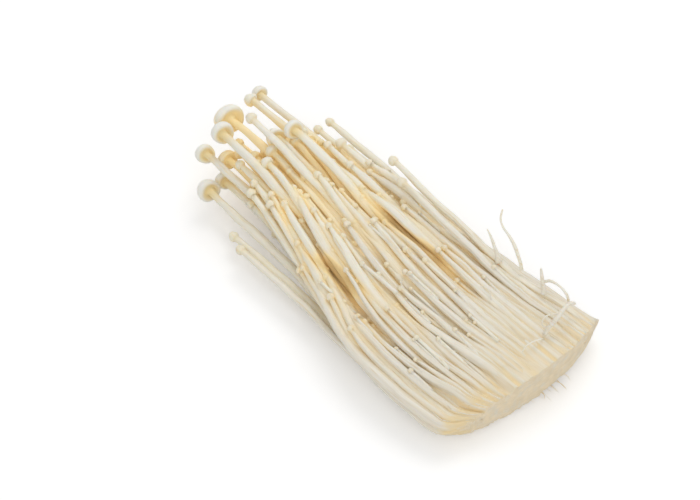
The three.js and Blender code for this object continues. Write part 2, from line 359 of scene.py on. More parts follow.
def to_frame(points):
    """Bunch millimetres to the frame's metres."""
    return np.asarray(points) * MM + ORIGIN


def to_bunch(points):
    """The frame's metres to bunch millimetres."""
    return (np.asarray(points) - ORIGIN) / MM


def smoothstep(value, low, high):
    share = np.clip((value - low) / (high - low), 0, 1)
    return share * share * (3 - 2 * share)


def mix(low, high, share):
    return low + (high - low) * share


def section(x):
    """Middle, half width and height of the bunch at x."""
    return [np.interp(x, OUTLINE[:, 0], OUTLINE[:, column]) for column in (1, 2, 3)]


def behind_face(points):
    """Bends places given as depth behind the cut, across and height to where they are: one
    corner is drawn in and lower, the lower edge is drawn up, and the cut's middle stands proud."""
    out = np.array(points, dtype=float)
    short = np.clip(1 - out[..., 0] / SHOULDER_DEPTH, 0, 1)
    outer = np.clip(out[..., 1] / BASE_HALF_WIDTH, 0, None) ** 2
    out[..., 1] -= SHOULDER * short**2 * outer
    out[..., 2] *= 1 - SHOULDER_DROP * short**1.3 * smoothstep(out[..., 1], 0, SHOULDER_AT)
    low = np.clip(1 - out[..., 2] / BASE_HEIGHT, 0, 1)
    lift = mix(EDGE_LIFT, CORNER_LIFT, smoothstep(-out[..., 1], CORNER_FROM, CORNER_TO))
    out[..., 2] += short**1.5 * low * lift
    out[..., 0] += short * face_recess(out[..., 1], out[..., 2])
    return out


def face_recess(y, z):
    """How far back the cut lies at y and z from where a straight one would be."""
    recess = FACE_LEAN * (z / BASE_HEIGHT - 0.5) - FACE_BULGE
    for way, depth, start, width, power in FACE_ENDS:
        recess = recess + depth * np.clip((way * y - start) / width, 0, PAST_END) ** power
    return recess


def flattened(points):
    """Nothing sinks below the surface: what would is pressed flat on it."""
    out = np.array(points, dtype=float)
    above = out[..., 2] - FLOOR_GAP
    pressed = PRESSED * np.exp(np.minimum(above / PRESSED - 1, 0))
    out[..., 2] = FLOOR_GAP + np.where(above < PRESSED, pressed, above)
    return out


def spline(points, step):
    """A smooth line through the points, with a place about every step of its length."""
    points = np.asarray(points, dtype=float)
    gaps = np.maximum(np.linalg.norm(np.diff(points, axis=0), axis=1), 1e-6)
    at = np.concatenate([[0], np.cumsum(gaps)])
    slopes = np.gradient(points, at, axis=0)
    count = max(int(round(at[-1] / step)), 3)
    wanted = np.linspace(0, at[-1], count + 1)
    part = np.clip(np.searchsorted(at, wanted, side="right") - 1, 0, len(points) - 2)
    width = (at[part + 1] - at[part])[:, None]
    t = (wanted - at[part])[:, None] / width
    a, b = points[part], points[part + 1]
    return (
        (2 * t**3 - 3 * t**2 + 1) * a
        + (t**3 - 2 * t**2 + t) * width * slopes[part]
        + (3 * t**2 - 2 * t**3) * b
        + (t**3 - t**2) * width * slopes[part + 1]
    )


def frames_along(line):
    """Tangent and two crossing directions at each place of a line."""
    tangent = np.gradient(line, axis=0)
    tangent /= np.linalg.norm(tangent, axis=1)[:, None]
    side = np.cross(np.array([0.0, 0.0, 1.0]), tangent)
    side /= np.maximum(np.linalg.norm(side, axis=1), 1e-6)[:, None]
    return tangent, side, np.cross(tangent, side)


def rings_round(centres, radii, side, over, sides, flat=(1.0, 1.0)):
    """Rings of vertices round the centres, by one radius a ring or one a vertex, and as much
    wider along side and along over as the two flat values say."""
    angle = np.arange(sides) / sides * 2 * math.pi
    radii = radii.reshape(len(centres), -1)
    return (
        centres[:, None, :]
        + (flat[0] * radii * np.cos(angle))[:, :, None] * side[:, None, :]
        + (flat[1] * radii * np.sin(angle))[:, :, None] * over[:, None, :]
    )


class Surface:
    """Vertices, faces and per-vertex values of one mesh, gathered from many pieces. The values are
    the place at rest, the tone of the mushroom, how far towards the caps it is, how much of a
    cap's top it is, how much painted golden shade under a cap and cream tint of a small cap it
    has, and how deep in a crack it lies, which sets the painted crack shade."""

    NAMES = ("rest", "tone", "ripe", "cap", "gill", "deep")

    def __init__(self):
        self.points = []
        self.faces = []
        self.values = {name: [] for name in self.NAMES}
        self.count = 0

    def add(self, points, faces, **values):
        """Adds vertices, and faces that count from the first of them."""
        points = np.asarray(points).reshape(-1, 3)
        self.points.append(points)
        self.faces.extend([tuple(int(i) + self.count for i in face) for face in faces])
        for name in self.NAMES:
            value = values.get(name, points if name == "rest" else 0.0)
            width = 3 if name == "rest" else 1
            shape = (len(points), width)
            flat = np.asarray(value, dtype=float)
            flat = flat.reshape(shape) if flat.size > 1 else np.full(shape, float(flat))
            self.values[name].append(flat)
        self.count += len(points)

    def build(self, name):
        """Makes the object: flesh all over, and cut flesh where it lies in the cut face."""
        points = np.concatenate(self.points)
        mesh = bpy.data.meshes.new(name)
        mesh.from_pydata(to_frame(points).tolist(), [], self.faces)
        for key in self.NAMES:
            values = np.concatenate(self.values[key]).astype(np.float32)
            kind = "FLOAT_VECTOR" if key == "rest" else "FLOAT"
            layer = mesh.attributes.new(key, kind, "POINT")
            layer.data.foreach_set("vector" if key == "rest" else "value", values.ravel())
        mesh.materials.append(flesh_material())
        in_face = points[:, 0] - face_recess(points[:, 1], points[:, 2]) < CUT_DEPTH
        cut = [all(in_face[i] for i in face) for face in self.faces]
        mesh.polygons.foreach_set("use_smooth", [not c for c in cut])
        if any(cut):
            mesh.materials.append(cut_material())
            mesh.polygons.foreach_set("material_index", [int(c) for c in cut])
        mesh.validate()
        obj = bpy.data.objects.new(name, mesh)
        bpy.context.scene.collection.objects.link(obj)
        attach(obj, "root")
        return obj


def ring_faces(rings, sides):
    """Quads between rings that follow each other, counted ring by ring."""
    ring = np.arange(rings - 1)[:, None] * sides
    side = np.arange(sides)[None, :]
    after = (side + 1) % sides
    quads = np.stack([ring + side, ring + after, ring + sides + after, ring + sides + side], -1)
    return quads.reshape(-1, 4).tolist()


def closed_faces(rings, sides):
    """The same with a fan at each end: two more vertices, the first end's and the last's."""
    faces = ring_faces(rings, sides)
    first, last = rings * sides, rings * sides + 1
    top = (rings - 1) * sides
    for i in range(sides):
        after = (i + 1) % sides
        faces.append((first, after, i))
        faces.append((last, top + i, top + after))
    return faces


# ---------------------------------------------------------------- where the mushrooms are


# A stem is as thick as its foot up to the first x. It gets slender over this share of its reach
# from there on, or up to the last x.
FOOT_UNTIL = 8
SLENDER_SHARE = 0.6
SLENDER_BY = 50


@dataclass
class Mushroom:
    """One mushroom's line from foot to the underside of its cap, and its sizes."""

    points: np.ndarray
    foot: float
    stem: float
    cap: float
    reach: float
    tone: float
    wide: float = 1.0
    node: str = ""

    def radius(self, x):
        """Stem radius, from the fused foot to the slender upper part."""
        slender_at = min(SLENDER_BY, SLENDER_SHARE * self.reach + FOOT_UNTIL)
        return mix(self.foot, self.stem, smoothstep(x, FOOT_UNTIL, slender_at))


# How tall caps are against their radius, up to the smallest radius and from the largest on
BEAD_HEIGHT = 1.6
SHIELD_HEIGHT = 1.15
SMALLEST_CAP = 1.1
LARGEST_CAP = 3.5

# In a solid: within this distance of the tip lies its cap, and at the second is only stem. The
# stem is measured from a little after its foot to a little before its cap.
CAP_REACH = 5.0
BELOW_CAP = 8.0
AFTER_FOOT = 0.4
BEFORE_CAP = 1.2

# How unequal the long mushrooms are: their feet, and how much wider than round their stems are
LONG_SEED = 5
LONG_FOOT_RANGE = (0.75, 1.15)
LONG_EXTRA_WIDTH = 0.3


def cap_height(radius):
    """Small caps are tall beads, and large ones are rounded shields."""
    large = smoothstep(radius, SMALLEST_CAP, LARGEST_CAP)
    return radius * mix(BEAD_HEIGHT, SHIELD_HEIGHT, large)


def crossing(vertices, edges, x):
    """Centre and radius of a solid where the plane at x cuts it."""
    a, b = vertices[edges[:, 0]], vertices[edges[:, 1]]
    cut = (a[:, 0] - x) * (b[:, 0] - x) < 0
    a, b = a[cut], b[cut]
    share = ((x - a[:, 0]) / (b[:, 0] - a[:, 0]))[:, None]
    hits = (a + share * (b - a))[:, 1:]
    centre = (hits.min(axis=0) + hits.max(axis=0)) / 2
    return np.array([x, *centre]), np.linalg.norm(hits - centre, axis=1).max()


def read_mushroom(name, rng):
    """The line, stem and cap of a solid mushroom."""
    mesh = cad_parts[name].data
    flat = np.empty(len(mesh.vertices) * 3)
    mesh.vertices.foreach_get("co", flat)
    vertices = to_bunch(flat.reshape(-1, 3))
    ends = np.empty(len(mesh.edges) * 2, dtype=int)
    mesh.edges.foreach_get("vertices", ends)
    edges = ends.reshape(-1, 2)
    tip = vertices[vertices[:, 0].argmax()]
    before, _ = crossing(vertices, edges, tip[0] - BELOW_CAP)
    axis = (tip - before) / np.linalg.norm(tip - before)
    near = vertices[vertices[:, 0] > tip[0] - CAP_REACH] - tip
    away = np.linalg.norm(near - np.outer(near @ axis, axis), axis=1)
    cap = float(away.max())
    under = tip - axis * cap_height(cap)
    first = vertices[:, 0].min() + AFTER_FOOT
    places = np.arange(first, under[0] - BEFORE_CAP, STATION_STEP)
    cuts = [crossing(vertices, edges, x) for x in places]
    stem = float(np.median([radius for _, radius in cuts[len(cuts) // 2:]]))
    points = np.array([centre for centre, _ in cuts] + [under])
    foot = bpy.context.scene.enoki_mushrooms.foot_radius * rng.uniform(*LONG_FOOT_RANGE)
    wide = 1 + LONG_EXTRA_WIDTH * rng.random()
    return Mushroom(points, foot, stem, cap, float(tip[0]), rng.random(), wide, name)


@functools.cache
def long_mushrooms():
    """The mushrooms that are solids."""
    rng = np.random.default_rng(LONG_SEED)
    names = sorted(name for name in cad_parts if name.startswith("mushroom_"))
    return [read_mushroom(name, rng) for name in names]


def free_feet(settings, rng):
    """Feet in staggered rows over the base, where no long mushroom stands."""
    taken = np.array([m.points[0, 1:] for m in long_mushrooms()])
    spacing = settings.foot_spacing
    half = BASE_HEIGHT / 2
    feet = []
    for number, z in enumerate(np.arange(FIRST_ROW, BASE_HEIGHT, spacing * ROW_SHARE)):
        first = -BASE_HALF_WIDTH + spacing / 2 * (number % 2)
        for y in np.arange(first, BASE_HALF_WIDTH, spacing):
            foot = np.array([y, z]) + rng.uniform(-FOOT_JITTER, FOOT_JITTER, 2)
            across = abs(foot[0]) / (BASE_HALF_WIDTH - EDGE_GAP)
            upward = abs(foot[1] - half) / (half - EDGE_GAP)
            inside = across**SECTION_POWER + upward**SECTION_POWER < 1
            if inside and np.linalg.norm(taken - foot, axis=1).min() > FOOT_GAP:
                feet.append(foot)
    return np.array(feet)


def top_of(x, y):
    """Height of the bunch's skin at x and y."""
    middle, half, height = section(x)
    across = np.clip(np.abs(y - middle) / half, 0, 1)
    return height / 2 * (1 + (1 - across**SECTION_POWER) ** (1 / SECTION_POWER))


def height_left(x, settings):
    """The height at x, in the section of the base, over the mushrooms that go on."""
    ended = np.clip((x - settings.shortest) / (settings.longest - settings.shortest), 0, 1)
    return BASE_HEIGHT - SHORT_DEPTH * ENDED_SHARE * ended ** (1 / REACH_POWER)


def reaches(feet, settings, rng):
    """The side that is on top carries the short mushrooms, and the edges fall short."""
    across = np.clip(np.abs(feet[:, 0]) / BASE_HALF_WIDTH, 0, 1)
    depth = np.clip((top_of(BASE_DEPTH, feet[:, 0]) - feet[:, 1]) / SHORT_DEPTH, 0, 1)
    spread = settings.reach_spread
    usual = mix(settings.shortest, settings.longest, depth**REACH_POWER)
    usual = usual + rng.uniform(-spread, spread, len(feet))
    furthest = settings.longest + SIDE_EXTRA - SIDE_LOSS * across**SIDE_POWER
    furthest = furthest - rng.uniform(0, spread, len(feet))
    return np.maximum(np.minimum(usual, furthest), settings.shortest - spread)


def keep_channels(feet, reach, settings, rng):
    """Mushrooms on top that would fill a channel end before it."""
    for start, end, y, half in CHANNELS:
        middle = (start + end) / 2
        place = first_line(feet, middle, settings)
        on_top = place[:, 1] > top_of(middle, y) - CHANNEL_CLEAR
        filling = on_top & (np.abs(place[:, 0] - y) < half + CHANNEL_BESIDE)
        ended = start - rng.uniform(*CHANNEL_BEFORE, len(feet))
        reach[filling] = np.minimum(reach, ended)[filling]


def choose_showing(feet, settings):
    """For each mushroom that shows, the foot whose line ends nearest to it."""
    chosen = []
    for reach, y, cap, _ in SHOWING:
        middle, half, height = section(reach)
        foot_y = (y - middle) / half * BASE_HALF_WIDTH
        foot_z = (top_of(reach, y) - cap) / height * height_left(reach, settings)
        away = np.hypot(feet[:, 0] - foot_y, feet[:, 1] - foot_z)
        away[chosen] = FAR_AWAY
        chosen.append(int(away.argmin()))
    return np.array(chosen)


def first_line(feet, x, settings):
    """Where stems with these feet pass x before they are packed."""
    middle, half, height = section(x)
    upward = np.minimum(feet[:, 1] / height_left(x, settings), HIGHEST_SHARE)
    return np.stack([middle + feet[:, 0] / BASE_HALF_WIDTH * half, upward * height], axis=-1)


def girth_at(x, foot, stem, cap, reach):
    """Radii of mushrooms at x, with the room that their caps need."""
    radius = mix(FOOT_GIRTH * foot, stem, smoothstep(x, BASE_DEPTH, FULL_GIRTH_AT))
    near = np.abs(x - (reach - cap / 2)) < np.maximum(cap, STATION_STEP)
    return np.where(near, np.maximum(radius, CAP_ROOM * cap), radius)


def push_apart(place, radius, weight):
    """One round of pushes between stems that are too close at a station."""
    gap = place[None, :, :] - place[:, None, :]
    apart = np.linalg.norm(gap, axis=2)
    np.fill_diagonal(apart, 1e9)
    lacking = np.maximum(radius[:, None] + radius[None, :] - apart, 0)
    share = weight[:, None] / np.maximum(weight[:, None] + weight[None, :], 1e-6)
    move = (lacking / np.maximum(apart, 1e-6) * share * 2 * PUSH)[:, :, None] * gap
    return place - move.sum(axis=1)


def kept_inside(place, radius, x):
    """Stems stay inside the bunch's section, and above the surface."""
    middle, half, height = section(x)
    across = np.abs(place[:, 0] - middle) / (half - radius)
    upward = np.abs(place[:, 1] - height / 2) / (height / 2 - radius)
    out = np.maximum((across**SECTION_POWER + upward**SECTION_POWER) ** (1 / SECTION_POWER), 1)
    centre = np.array([middle, height / 2])
    inside = centre + (place - centre) / out[:, None]
    inside[:, 1] = np.maximum(inside[:, 1], radius)
    return inside


def drawn_sizes(reach, settings, rng):
    """Stem, foot and cap radius, and width against round, of mushrooms that reach this far."""
    count = len(reach)
    share = np.clip(reach / BUNCH_LENGTH, 0, 1)
    stem = mix(settings.thin_stem, settings.thick_stem, share**1.5)
    stem = stem * rng.uniform(*STEM_RANGE, count)
    foot = settings.foot_radius * rng.uniform(*FOOT_RANGE, count)
    wide = 1 + EXTRA_WIDTH * rng.random(count) ** 1.5
    grown = share**3 * rng.uniform(*GROWN_RANGE, count)
    cap = mix(settings.small_cap, settings.large_cap, grown) * rng.uniform(*CAP_RANGE, count)
    return stem, foot, cap, wide


def line_of(place, reach, cap, sinks):
    """A short mushroom's line, with its last place moved to the underside of its cap."""
    x = STATIONS[:len(place)]
    points = np.column_stack([x, place])
    if sinks:
        points[:, 2] -= SINKING * smoothstep(x, reach - SINKING_RUN, reach)
    share = (reach - cap_height(cap) - x[-2]) / (x[-1] - x[-2])
    points[-1] = points[-2] + share * (points[-1] - points[-2])
    return np.delete(points, -2, axis=0) if share < TOO_NEAR else points


@functools.cache
def short_mushrooms():
    """Mushrooms packed into the room that the long ones leave."""
    settings = bpy.context.scene.enoki_mushrooms
    rng = np.random.default_rng(settings.seed)
    feet = free_feet(settings, rng)
    reach = reaches(feet, settings, rng)
    keep_channels(feet, reach, settings, rng)
    stem, foot, cap, wide = drawn_sizes(reach, settings, rng)
    showing = choose_showing(feet, settings)
    reach[showing], cap[showing], wide[showing] = SHOWING[:, 0], SHOWING[:, 2], SHOWING[:, 3]
    stem[showing] = np.minimum(stem[showing], cap[showing] * STEM_IN_CAP)
    last = np.ceil((reach - STATIONS[0]) / STATION_STEP).astype(int)
    place = first_places(feet, last, showing, settings)
    place = packed(place, np.column_stack([foot, stem, cap, reach]), last)

    end = place[np.arange(len(feet)), last]
    near_top = end[:, 1] > top_of(reach, end[:, 0]) - TOP_LAYER
    sinking = near_top & (rng.random(len(feet)) < SINKING_SHARE)
    sinking[showing] = False
    made = []
    for i in range(len(feet)):
        line = line_of(place[i, :last[i] + 1], reach[i], cap[i], sinking[i])
        made.append(Mushroom(line, foot[i], stem[i], cap[i], reach[i], rng.random(), wide[i]))
    return made


def first_places(feet, last, showing, settings):
    """Where the stems pass each station before they are packed."""
    place = np.zeros((len(feet), len(STATIONS), 2))
    for k, x in enumerate(STATIONS):
        place[:, k] = first_line(feet, x, settings)
    for i, (x, y, cap, _) in zip(showing, SHOWING):
        end = np.array([y, top_of(x, y) - cap * SHOWING_SUNK])
        share = np.clip(np.arange(len(STATIONS)) / last[i], 0, 1)[:, None] ** 2
        place[i] += share * (end - place[i, last[i]])
    return place


def held_apart():
    """Places, sizes and last stations of what stays where it is while the short mushrooms are
    packed: the long mushrooms, and something in each channel that keeps it open."""
    solid = long_mushrooms()
    places = np.zeros((len(solid), len(STATIONS), 2))
    for number, m in enumerate(solid):
        for axis in (0, 1):
            line = np.interp(STATIONS, m.points[:, 0], m.points[:, 1 + axis])
            places[number, :, axis] = line
    kept_free = np.zeros((len(CHANNELS), len(STATIONS), 2)) + (0, FAR_AWAY)
    for number, (start, end, y, half) in enumerate(CHANNELS):
        open_at = (STATIONS >= start) & (STATIONS <= end)
        x = STATIONS[open_at]
        level = top_of(x, y) - 0.5 * half
        kept_free[number, open_at] = np.column_stack([np.full(len(x), y), level])
    sizes = [(SOLID_FOOT, m.stem, m.cap, m.reach) for m in solid]
    sizes += [(half / FOOT_GIRTH, half, half, 2 * BUNCH_LENGTH) for *_, half in CHANNELS]
    last = [len(m.points) - 1 for m in solid] + [len(STATIONS) - 1] * len(CHANNELS)
    return np.concatenate([places, kept_free]), np.array(sizes), np.array(last)


def packed(place, sizes, last):
    """Pushes the short mushrooms apart, and away from what is held."""
    home = place
    held_places, held_sizes, held_last = held_apart()
    held = len(held_places)
    place = np.concatenate([held_places, place])
    sizes = np.vstack([held_sizes, sizes])
    last = np.concatenate([held_last, last])
    weight = (np.arange(len(place)) >= held).astype(float)
    inner = (np.arange(len(STATIONS))[None, 1:-1] < last[held:][:, None])[:, :, None]
    rows, final = np.arange(len(home)), last[held:]
    for _ in range(PACK_ROUNDS):
        for k, x in enumerate(STATIONS):
            live = np.flatnonzero((last >= k) & (sizes[:, 3] > x - STATION_STEP))
            radius = girth_at(x, *sizes[live].T)
            moved = push_apart(place[live, k], radius, weight[live])
            moved = kept_inside(moved, radius, x)
            loose = live >= held
            place[live[loose], k] = moved[loose]
        own = place[held:]
        for _ in range(2):
            middle = (own[:, :-2] + own[:, 2:]) / 2
            own[:, 1:-1] += np.where(inner, STIFFNESS * (middle - own[:, 1:-1]), 0)
            onward = 2 * own[rows, final - 1] - own[rows, final - 2]
            own[rows, final] += END_HOLD * (onward - own[rows, final])
        own += HOME_PULL * (home - own)
        place[held:] = own
    return place[held:]


# ---------------------------------------------------------------- how a mushroom looks

# Half outlines of a cap: share of its radius, share of its height, cap value, and painted golden
# shade on its underside.
BEAD = np.array([
    (0.66, 0.00, 0.5, 0.6),
    (0.83, 0.09, 0.9, 0.3),
    (0.95, 0.23, 1.0, 0.1),
    (1.00, 0.40, 1.0, 0),
    (0.98, 0.56, 1.0, 0),
    (0.89, 0.72, 1.0, 0),
    (0.73, 0.85, 1.0, 0),
    (0.51, 0.94, 1.0, 0),
    (0.26, 0.99, 1.0, 0),
])
SHIELD = np.array([
    (0.40, 0.18, 0.7, 1.0),
    (0.53, 0.16, 1.0, 0.9),
    (0.69, 0.06, 1.0, 0.55),
    (0.85, 0.03, 1.0, 0.12),
    (0.97, 0.15, 1.0, 0),
    (1.00, 0.34, 1.0, 0),
    (0.94, 0.59, 1.0, 0),
    (0.72, 0.84, 1.0, 0),
    (0.37, 0.97, 1.0, 0),
])
STEM_SIDES = 20
CAP_SIDES = 30
BROAD_CAP = 2.5
RING_STEP = 1.5

# Cap radii between which a cap turns from a bead into a shield
BEAD_UP_TO = 1.3
SHIELD_FROM = 2.9

# Where a mushroom's line passes inside the base, and how much of the stem's slant it keeps there
ROOTS = (0, 3.0, 6.5)
ROOT_SLANT = 0.5

# Small bends of a stem: their lengths, size and how much smaller the short ones are, how much of
# it is up and down, and the shares of the stem at its foot and its cap where they fade
SWAY_WAVES = (34.0, 17.0, 9.0)
SWAY = 0.16
SWAY_FALL = 1.3
SWAY_UPWARD = 0.6
SWAY_AFTER = 0.15
SWAY_BEFORE = 0.12

# A stem's swellings: length over a turn, share of the radius. Then its lengthwise folds: count,
# strength, and how far they sway. The folds are deepest near the base, and fade between two x.
SWELLINGS = ((4.3, 0.05), (1.9, 0.03))
OVAL = 0.06
FOLDS = ((3, 0.6, 0), (5, 1.0, 0.1), (7, 0.8, 0))
FOLD_AT_BASE = 0.085
FOLD_AT_TOP = 0.02
FOLDS_FADE = (12, 75)
FOLD_SWAY_RUN = 6
TWIST = 0.02

# A stem's width against its cap's, for beads and for shields, how far before the cap it starts
# to get as slim as that, and over what distances it narrows to a neck, and gets round
SLIM_BEAD = 0.68
SLIM_SHIELD = 0.8
SLIM_RUN = 14.0
NECK = 0.9
NECK_RUN = 12.0
ROUND_RUN = (22, 3)
NO_LIMIT = 9.0

# At the cut it is as slim as this share, and at the second depth as thick as further on.
WAIST = 0.96
WAIST_DEPTH = 6

# How a cap sits: how unevenly it leans and how much of that a small one does, the droop of the
# large ones, and how far off its stem. A cap is shifted and lumpy only from and to two shares of
# its radius.
CAP_LEAN = 0.1
BEAD_LEAN = 0.6
CAP_DROOP = (0, 0.1, 0.36)
CAP_SHIFT = 0.05
CAP_SHIFTED = (0.4, 0.9)
CAP_OVAL = 0.05
CAP_LUMPS = 0.035
CAP_LUMPY = (0.5, 0.9)
TOP_RISE = 0.03

# No ring of a cap is narrower than the first share of the stem's end or the second of the cap,
# whichever is less.
ROUND_STEM = 1.02
UNDER_AT_MOST = 0.9

# Depths between which rings turn from lying along the cut to upright, how uneven the sliced feet
# are, where flesh turns from ivory to cream, and how far apart mushrooms' patterns start
UPRIGHT_FROM_TO = (1.0, 8.0)
CUT_UNEVENNESS = 0.04
RIPE_FROM_TO = (20, 105)
REST_APART = (173.0, 91.0, 57.0)

# How pale and how golden a small cap is, and how strong the painted golden shade on its underside
# is
PALE_BEAD = 0.15
CREAMY_BEAD = 0.24
BEAD_UNDER_SHADE = 0.6

# How strong the painted golden shade on the stem is below small and large caps, and how far down
# it goes, in cap radii
SHADE_BELOW_BEAD = 0.35
SHADE_BELOW_SHIELD = 0.9
SHADE_BELOW_RUN = 1.6


def rooted(points):
    """The line carried back from the foot through the base, to the cut face."""
    foot = points[0]
    ahead = points[1] - points[0]
    slope = ahead[1:] / ahead[0]
    back = [[x, *(foot[1:] - slope * (foot[0] - x) * ROOT_SLANT)] for x in ROOTS]
    return behind_face(np.vstack([back, points]))


def wandering(line, rng):
    """Small bends that a stem has from growing among others, none at its two ends."""
    along = np.linspace(0, 1, len(line))
    length = np.linalg.norm(np.diff(line, axis=0), axis=1).sum()
    hold = smoothstep(along, 0, SWAY_AFTER) * smoothstep(1 - along, 0, SWAY_BEFORE)
    _, side, over = frames_along(line)
    out = line.copy()
    for direction, strength in ((side, 1.0), (over, SWAY_UPWARD)):
        sway = 0
        for wave in SWAY_WAVES:
            phase = rng.uniform(0, 2 * math.pi)
            turns = 2 * math.pi * along * length / wave
            sway = sway + (wave / SWAY_WAVES[0]) ** SWAY_FALL * np.sin(turns + phase)
        out += (SWAY * strength * hold * sway)[:, None] * direction
    return out


# Painted shade in the cracks between mushrooms: how often the crowd is measured along x, how near
# a neighbour must be to shade the flesh at the base and further on, between which x it changes,
# and how much the nearest, second and third count
CROWD_STEP = 1.0
NEAR_AT_BASE = 0.55
NEAR_FURTHER = 1.9
NEAR_WIDENS = (6, 46)
NEIGHBOURS = (0.6, 0.3, 0.2)
TOUCHING = 0.92

# Painted shade deep inside the bunch as a whole: from and to which share of its section, how much
# of it near the base and near the caps, and between which x it changes
INNER_SECTION = (0.68, 0.9)
INNER_AT_BASE = 0.25
INNER_AT_CAPS = 0.85
INNER_DEEPENS = (40, 90)

# Near the base the flesh is darker and beiger all over, and this fades out between two x.
BASE_DARKENING = 0.25
DARKENING_FADES = (4, 28)

# A channel's painted golden shade: how far along x it fades, how wide it is beside the gap, and
# how deep it starts
CHANNEL_FADE = 12.0
CHANNEL_EDGE = (0.3, 1.6)
CHANNEL_TOP = (0.9, 2.4)


@functools.cache
def crowd():
    """Every mushroom's middle and radius at even steps along x, far away where it isn't."""
    everyone = [*long_mushrooms(), *short_mushrooms()]
    places = np.arange(0, BUNCH_LENGTH + 2, CROWD_STEP)
    middles = np.full((len(places), len(everyone), 2), FAR_AWAY)
    radii = np.ones((len(places), len(everyone)))
    for number, m in enumerate(everyone):
        there = places < m.reach
        for axis in (0, 1):
            middles[there, number, axis] = np.interp(
                places[there], m.points[:, 0], m.points[:, 1 + axis],
            )
        radii[:, number] = m.radius(places) * m.wide**0.25
        head = (places > m.reach - cap_height(m.cap)) & there
        radii[head, number] = m.cap
    return middles, radii, {id(m): number for number, m in enumerate(everyone)}


def buried(points, m):
    """How deep each point lies in the cracks between mushrooms and inside the bunch, which sets
    its painted shade, with more of the same darkening near the base: 1 touches a neighbour.
    """
    middles, radii, number = crowd()
    x = points[:, 0]
    slot = np.clip(np.rint(x / CROWD_STEP).astype(int), 0, len(middles) - 1)
    gap = np.linalg.norm(points[:, None, 1:] - middles[slot], axis=2) - radii[slot]
    gap[:, number[id(m)]] = FAR_AWAY
    near = np.sort(gap, axis=1)[:, :len(NEIGHBOURS)]
    reach = mix(NEAR_AT_BASE, NEAR_FURTHER, smoothstep(x, *NEAR_WIDENS))[:, None]
    touch = (1 - smoothstep(near / reach, 0, 1)) @ np.array(NEIGHBOURS)
    middle, half, height = section(x)
    across = np.abs(points[:, 1] - middle) / half
    upward = np.abs(points[:, 2] - height / 2) / (height / 2)
    out = (across**SECTION_POWER + upward**SECTION_POWER) ** (1 / SECTION_POWER)
    inner = 1 - smoothstep(out, *INNER_SECTION)
    inner = inner * mix(INNER_AT_BASE, INNER_AT_CAPS, smoothstep(x, *INNER_DEEPENS))
    base_darkening = BASE_DARKENING * (1 - smoothstep(x, *DARKENING_FADES))
    return np.clip(np.maximum(TOUCHING * touch, inner) + base_darkening, 0, 1)


def painted_channel_shade(points):
    """Painted golden shade of the channels: 1 in the gaps between stems, 0 elsewhere."""
    x, y, z = points.T
    inside = np.zeros(len(points))
    for start, end, middle, half in CHANNELS:
        along = smoothstep(x, start - CHANNEL_FADE, start)
        along = along * (1 - smoothstep(x, end - CHANNEL_FADE, end))
        near, far = CHANNEL_EDGE
        beside = 1 - smoothstep(np.abs(y - middle), half + near, half + far)
        below = smoothstep(top_of(x, y) - z, *CHANNEL_TOP)
        inside = np.maximum(inside, along * beside * below)
    return inside


def stem_radius(m, x, run, large, phase):
    """A stem's radius along its length: uneven, and slimmer under the cap and at the cut."""
    reach = m.points[-1, 0]
    swelling = 1
    for (length, strength), turn in zip(SWELLINGS, phase):
        swelling = swelling + strength * np.sin(run / length + turn)
    radius = m.radius(x) * swelling
    slim = mix(SLIM_BEAD, SLIM_SHIELD, large) * m.cap
    limit = mix(NO_LIMIT, slim, smoothstep(x, reach - SLIM_RUN, reach - 2))
    radius = np.minimum(radius, limit) * mix(1, NECK, smoothstep(x, reach - NECK_RUN, reach))
    return radius * mix(WAIST, 1, smoothstep(x, 0, WAIST_DEPTH))


def stem_folds(angle, x, run, phase, rng):
    """A stem's section against a round one: oval, with folds that run along it."""
    strength = mix(FOLD_AT_BASE, FOLD_AT_TOP, smoothstep(x, *FOLDS_FADE))[:, None]
    turn = angle[None, :] + (run * rng.uniform(-TWIST, TWIST))[:, None]
    shape = 1 + OVAL * np.cos(2 * turn + phase[0])
    for (count, share, sway), start in zip(FOLDS, phase[1:]):
        at = count * turn + start + sway * np.sin(run / FOLD_SWAY_RUN)[:, None]
        shape = shape + share * strength * np.cos(at)
    return shape


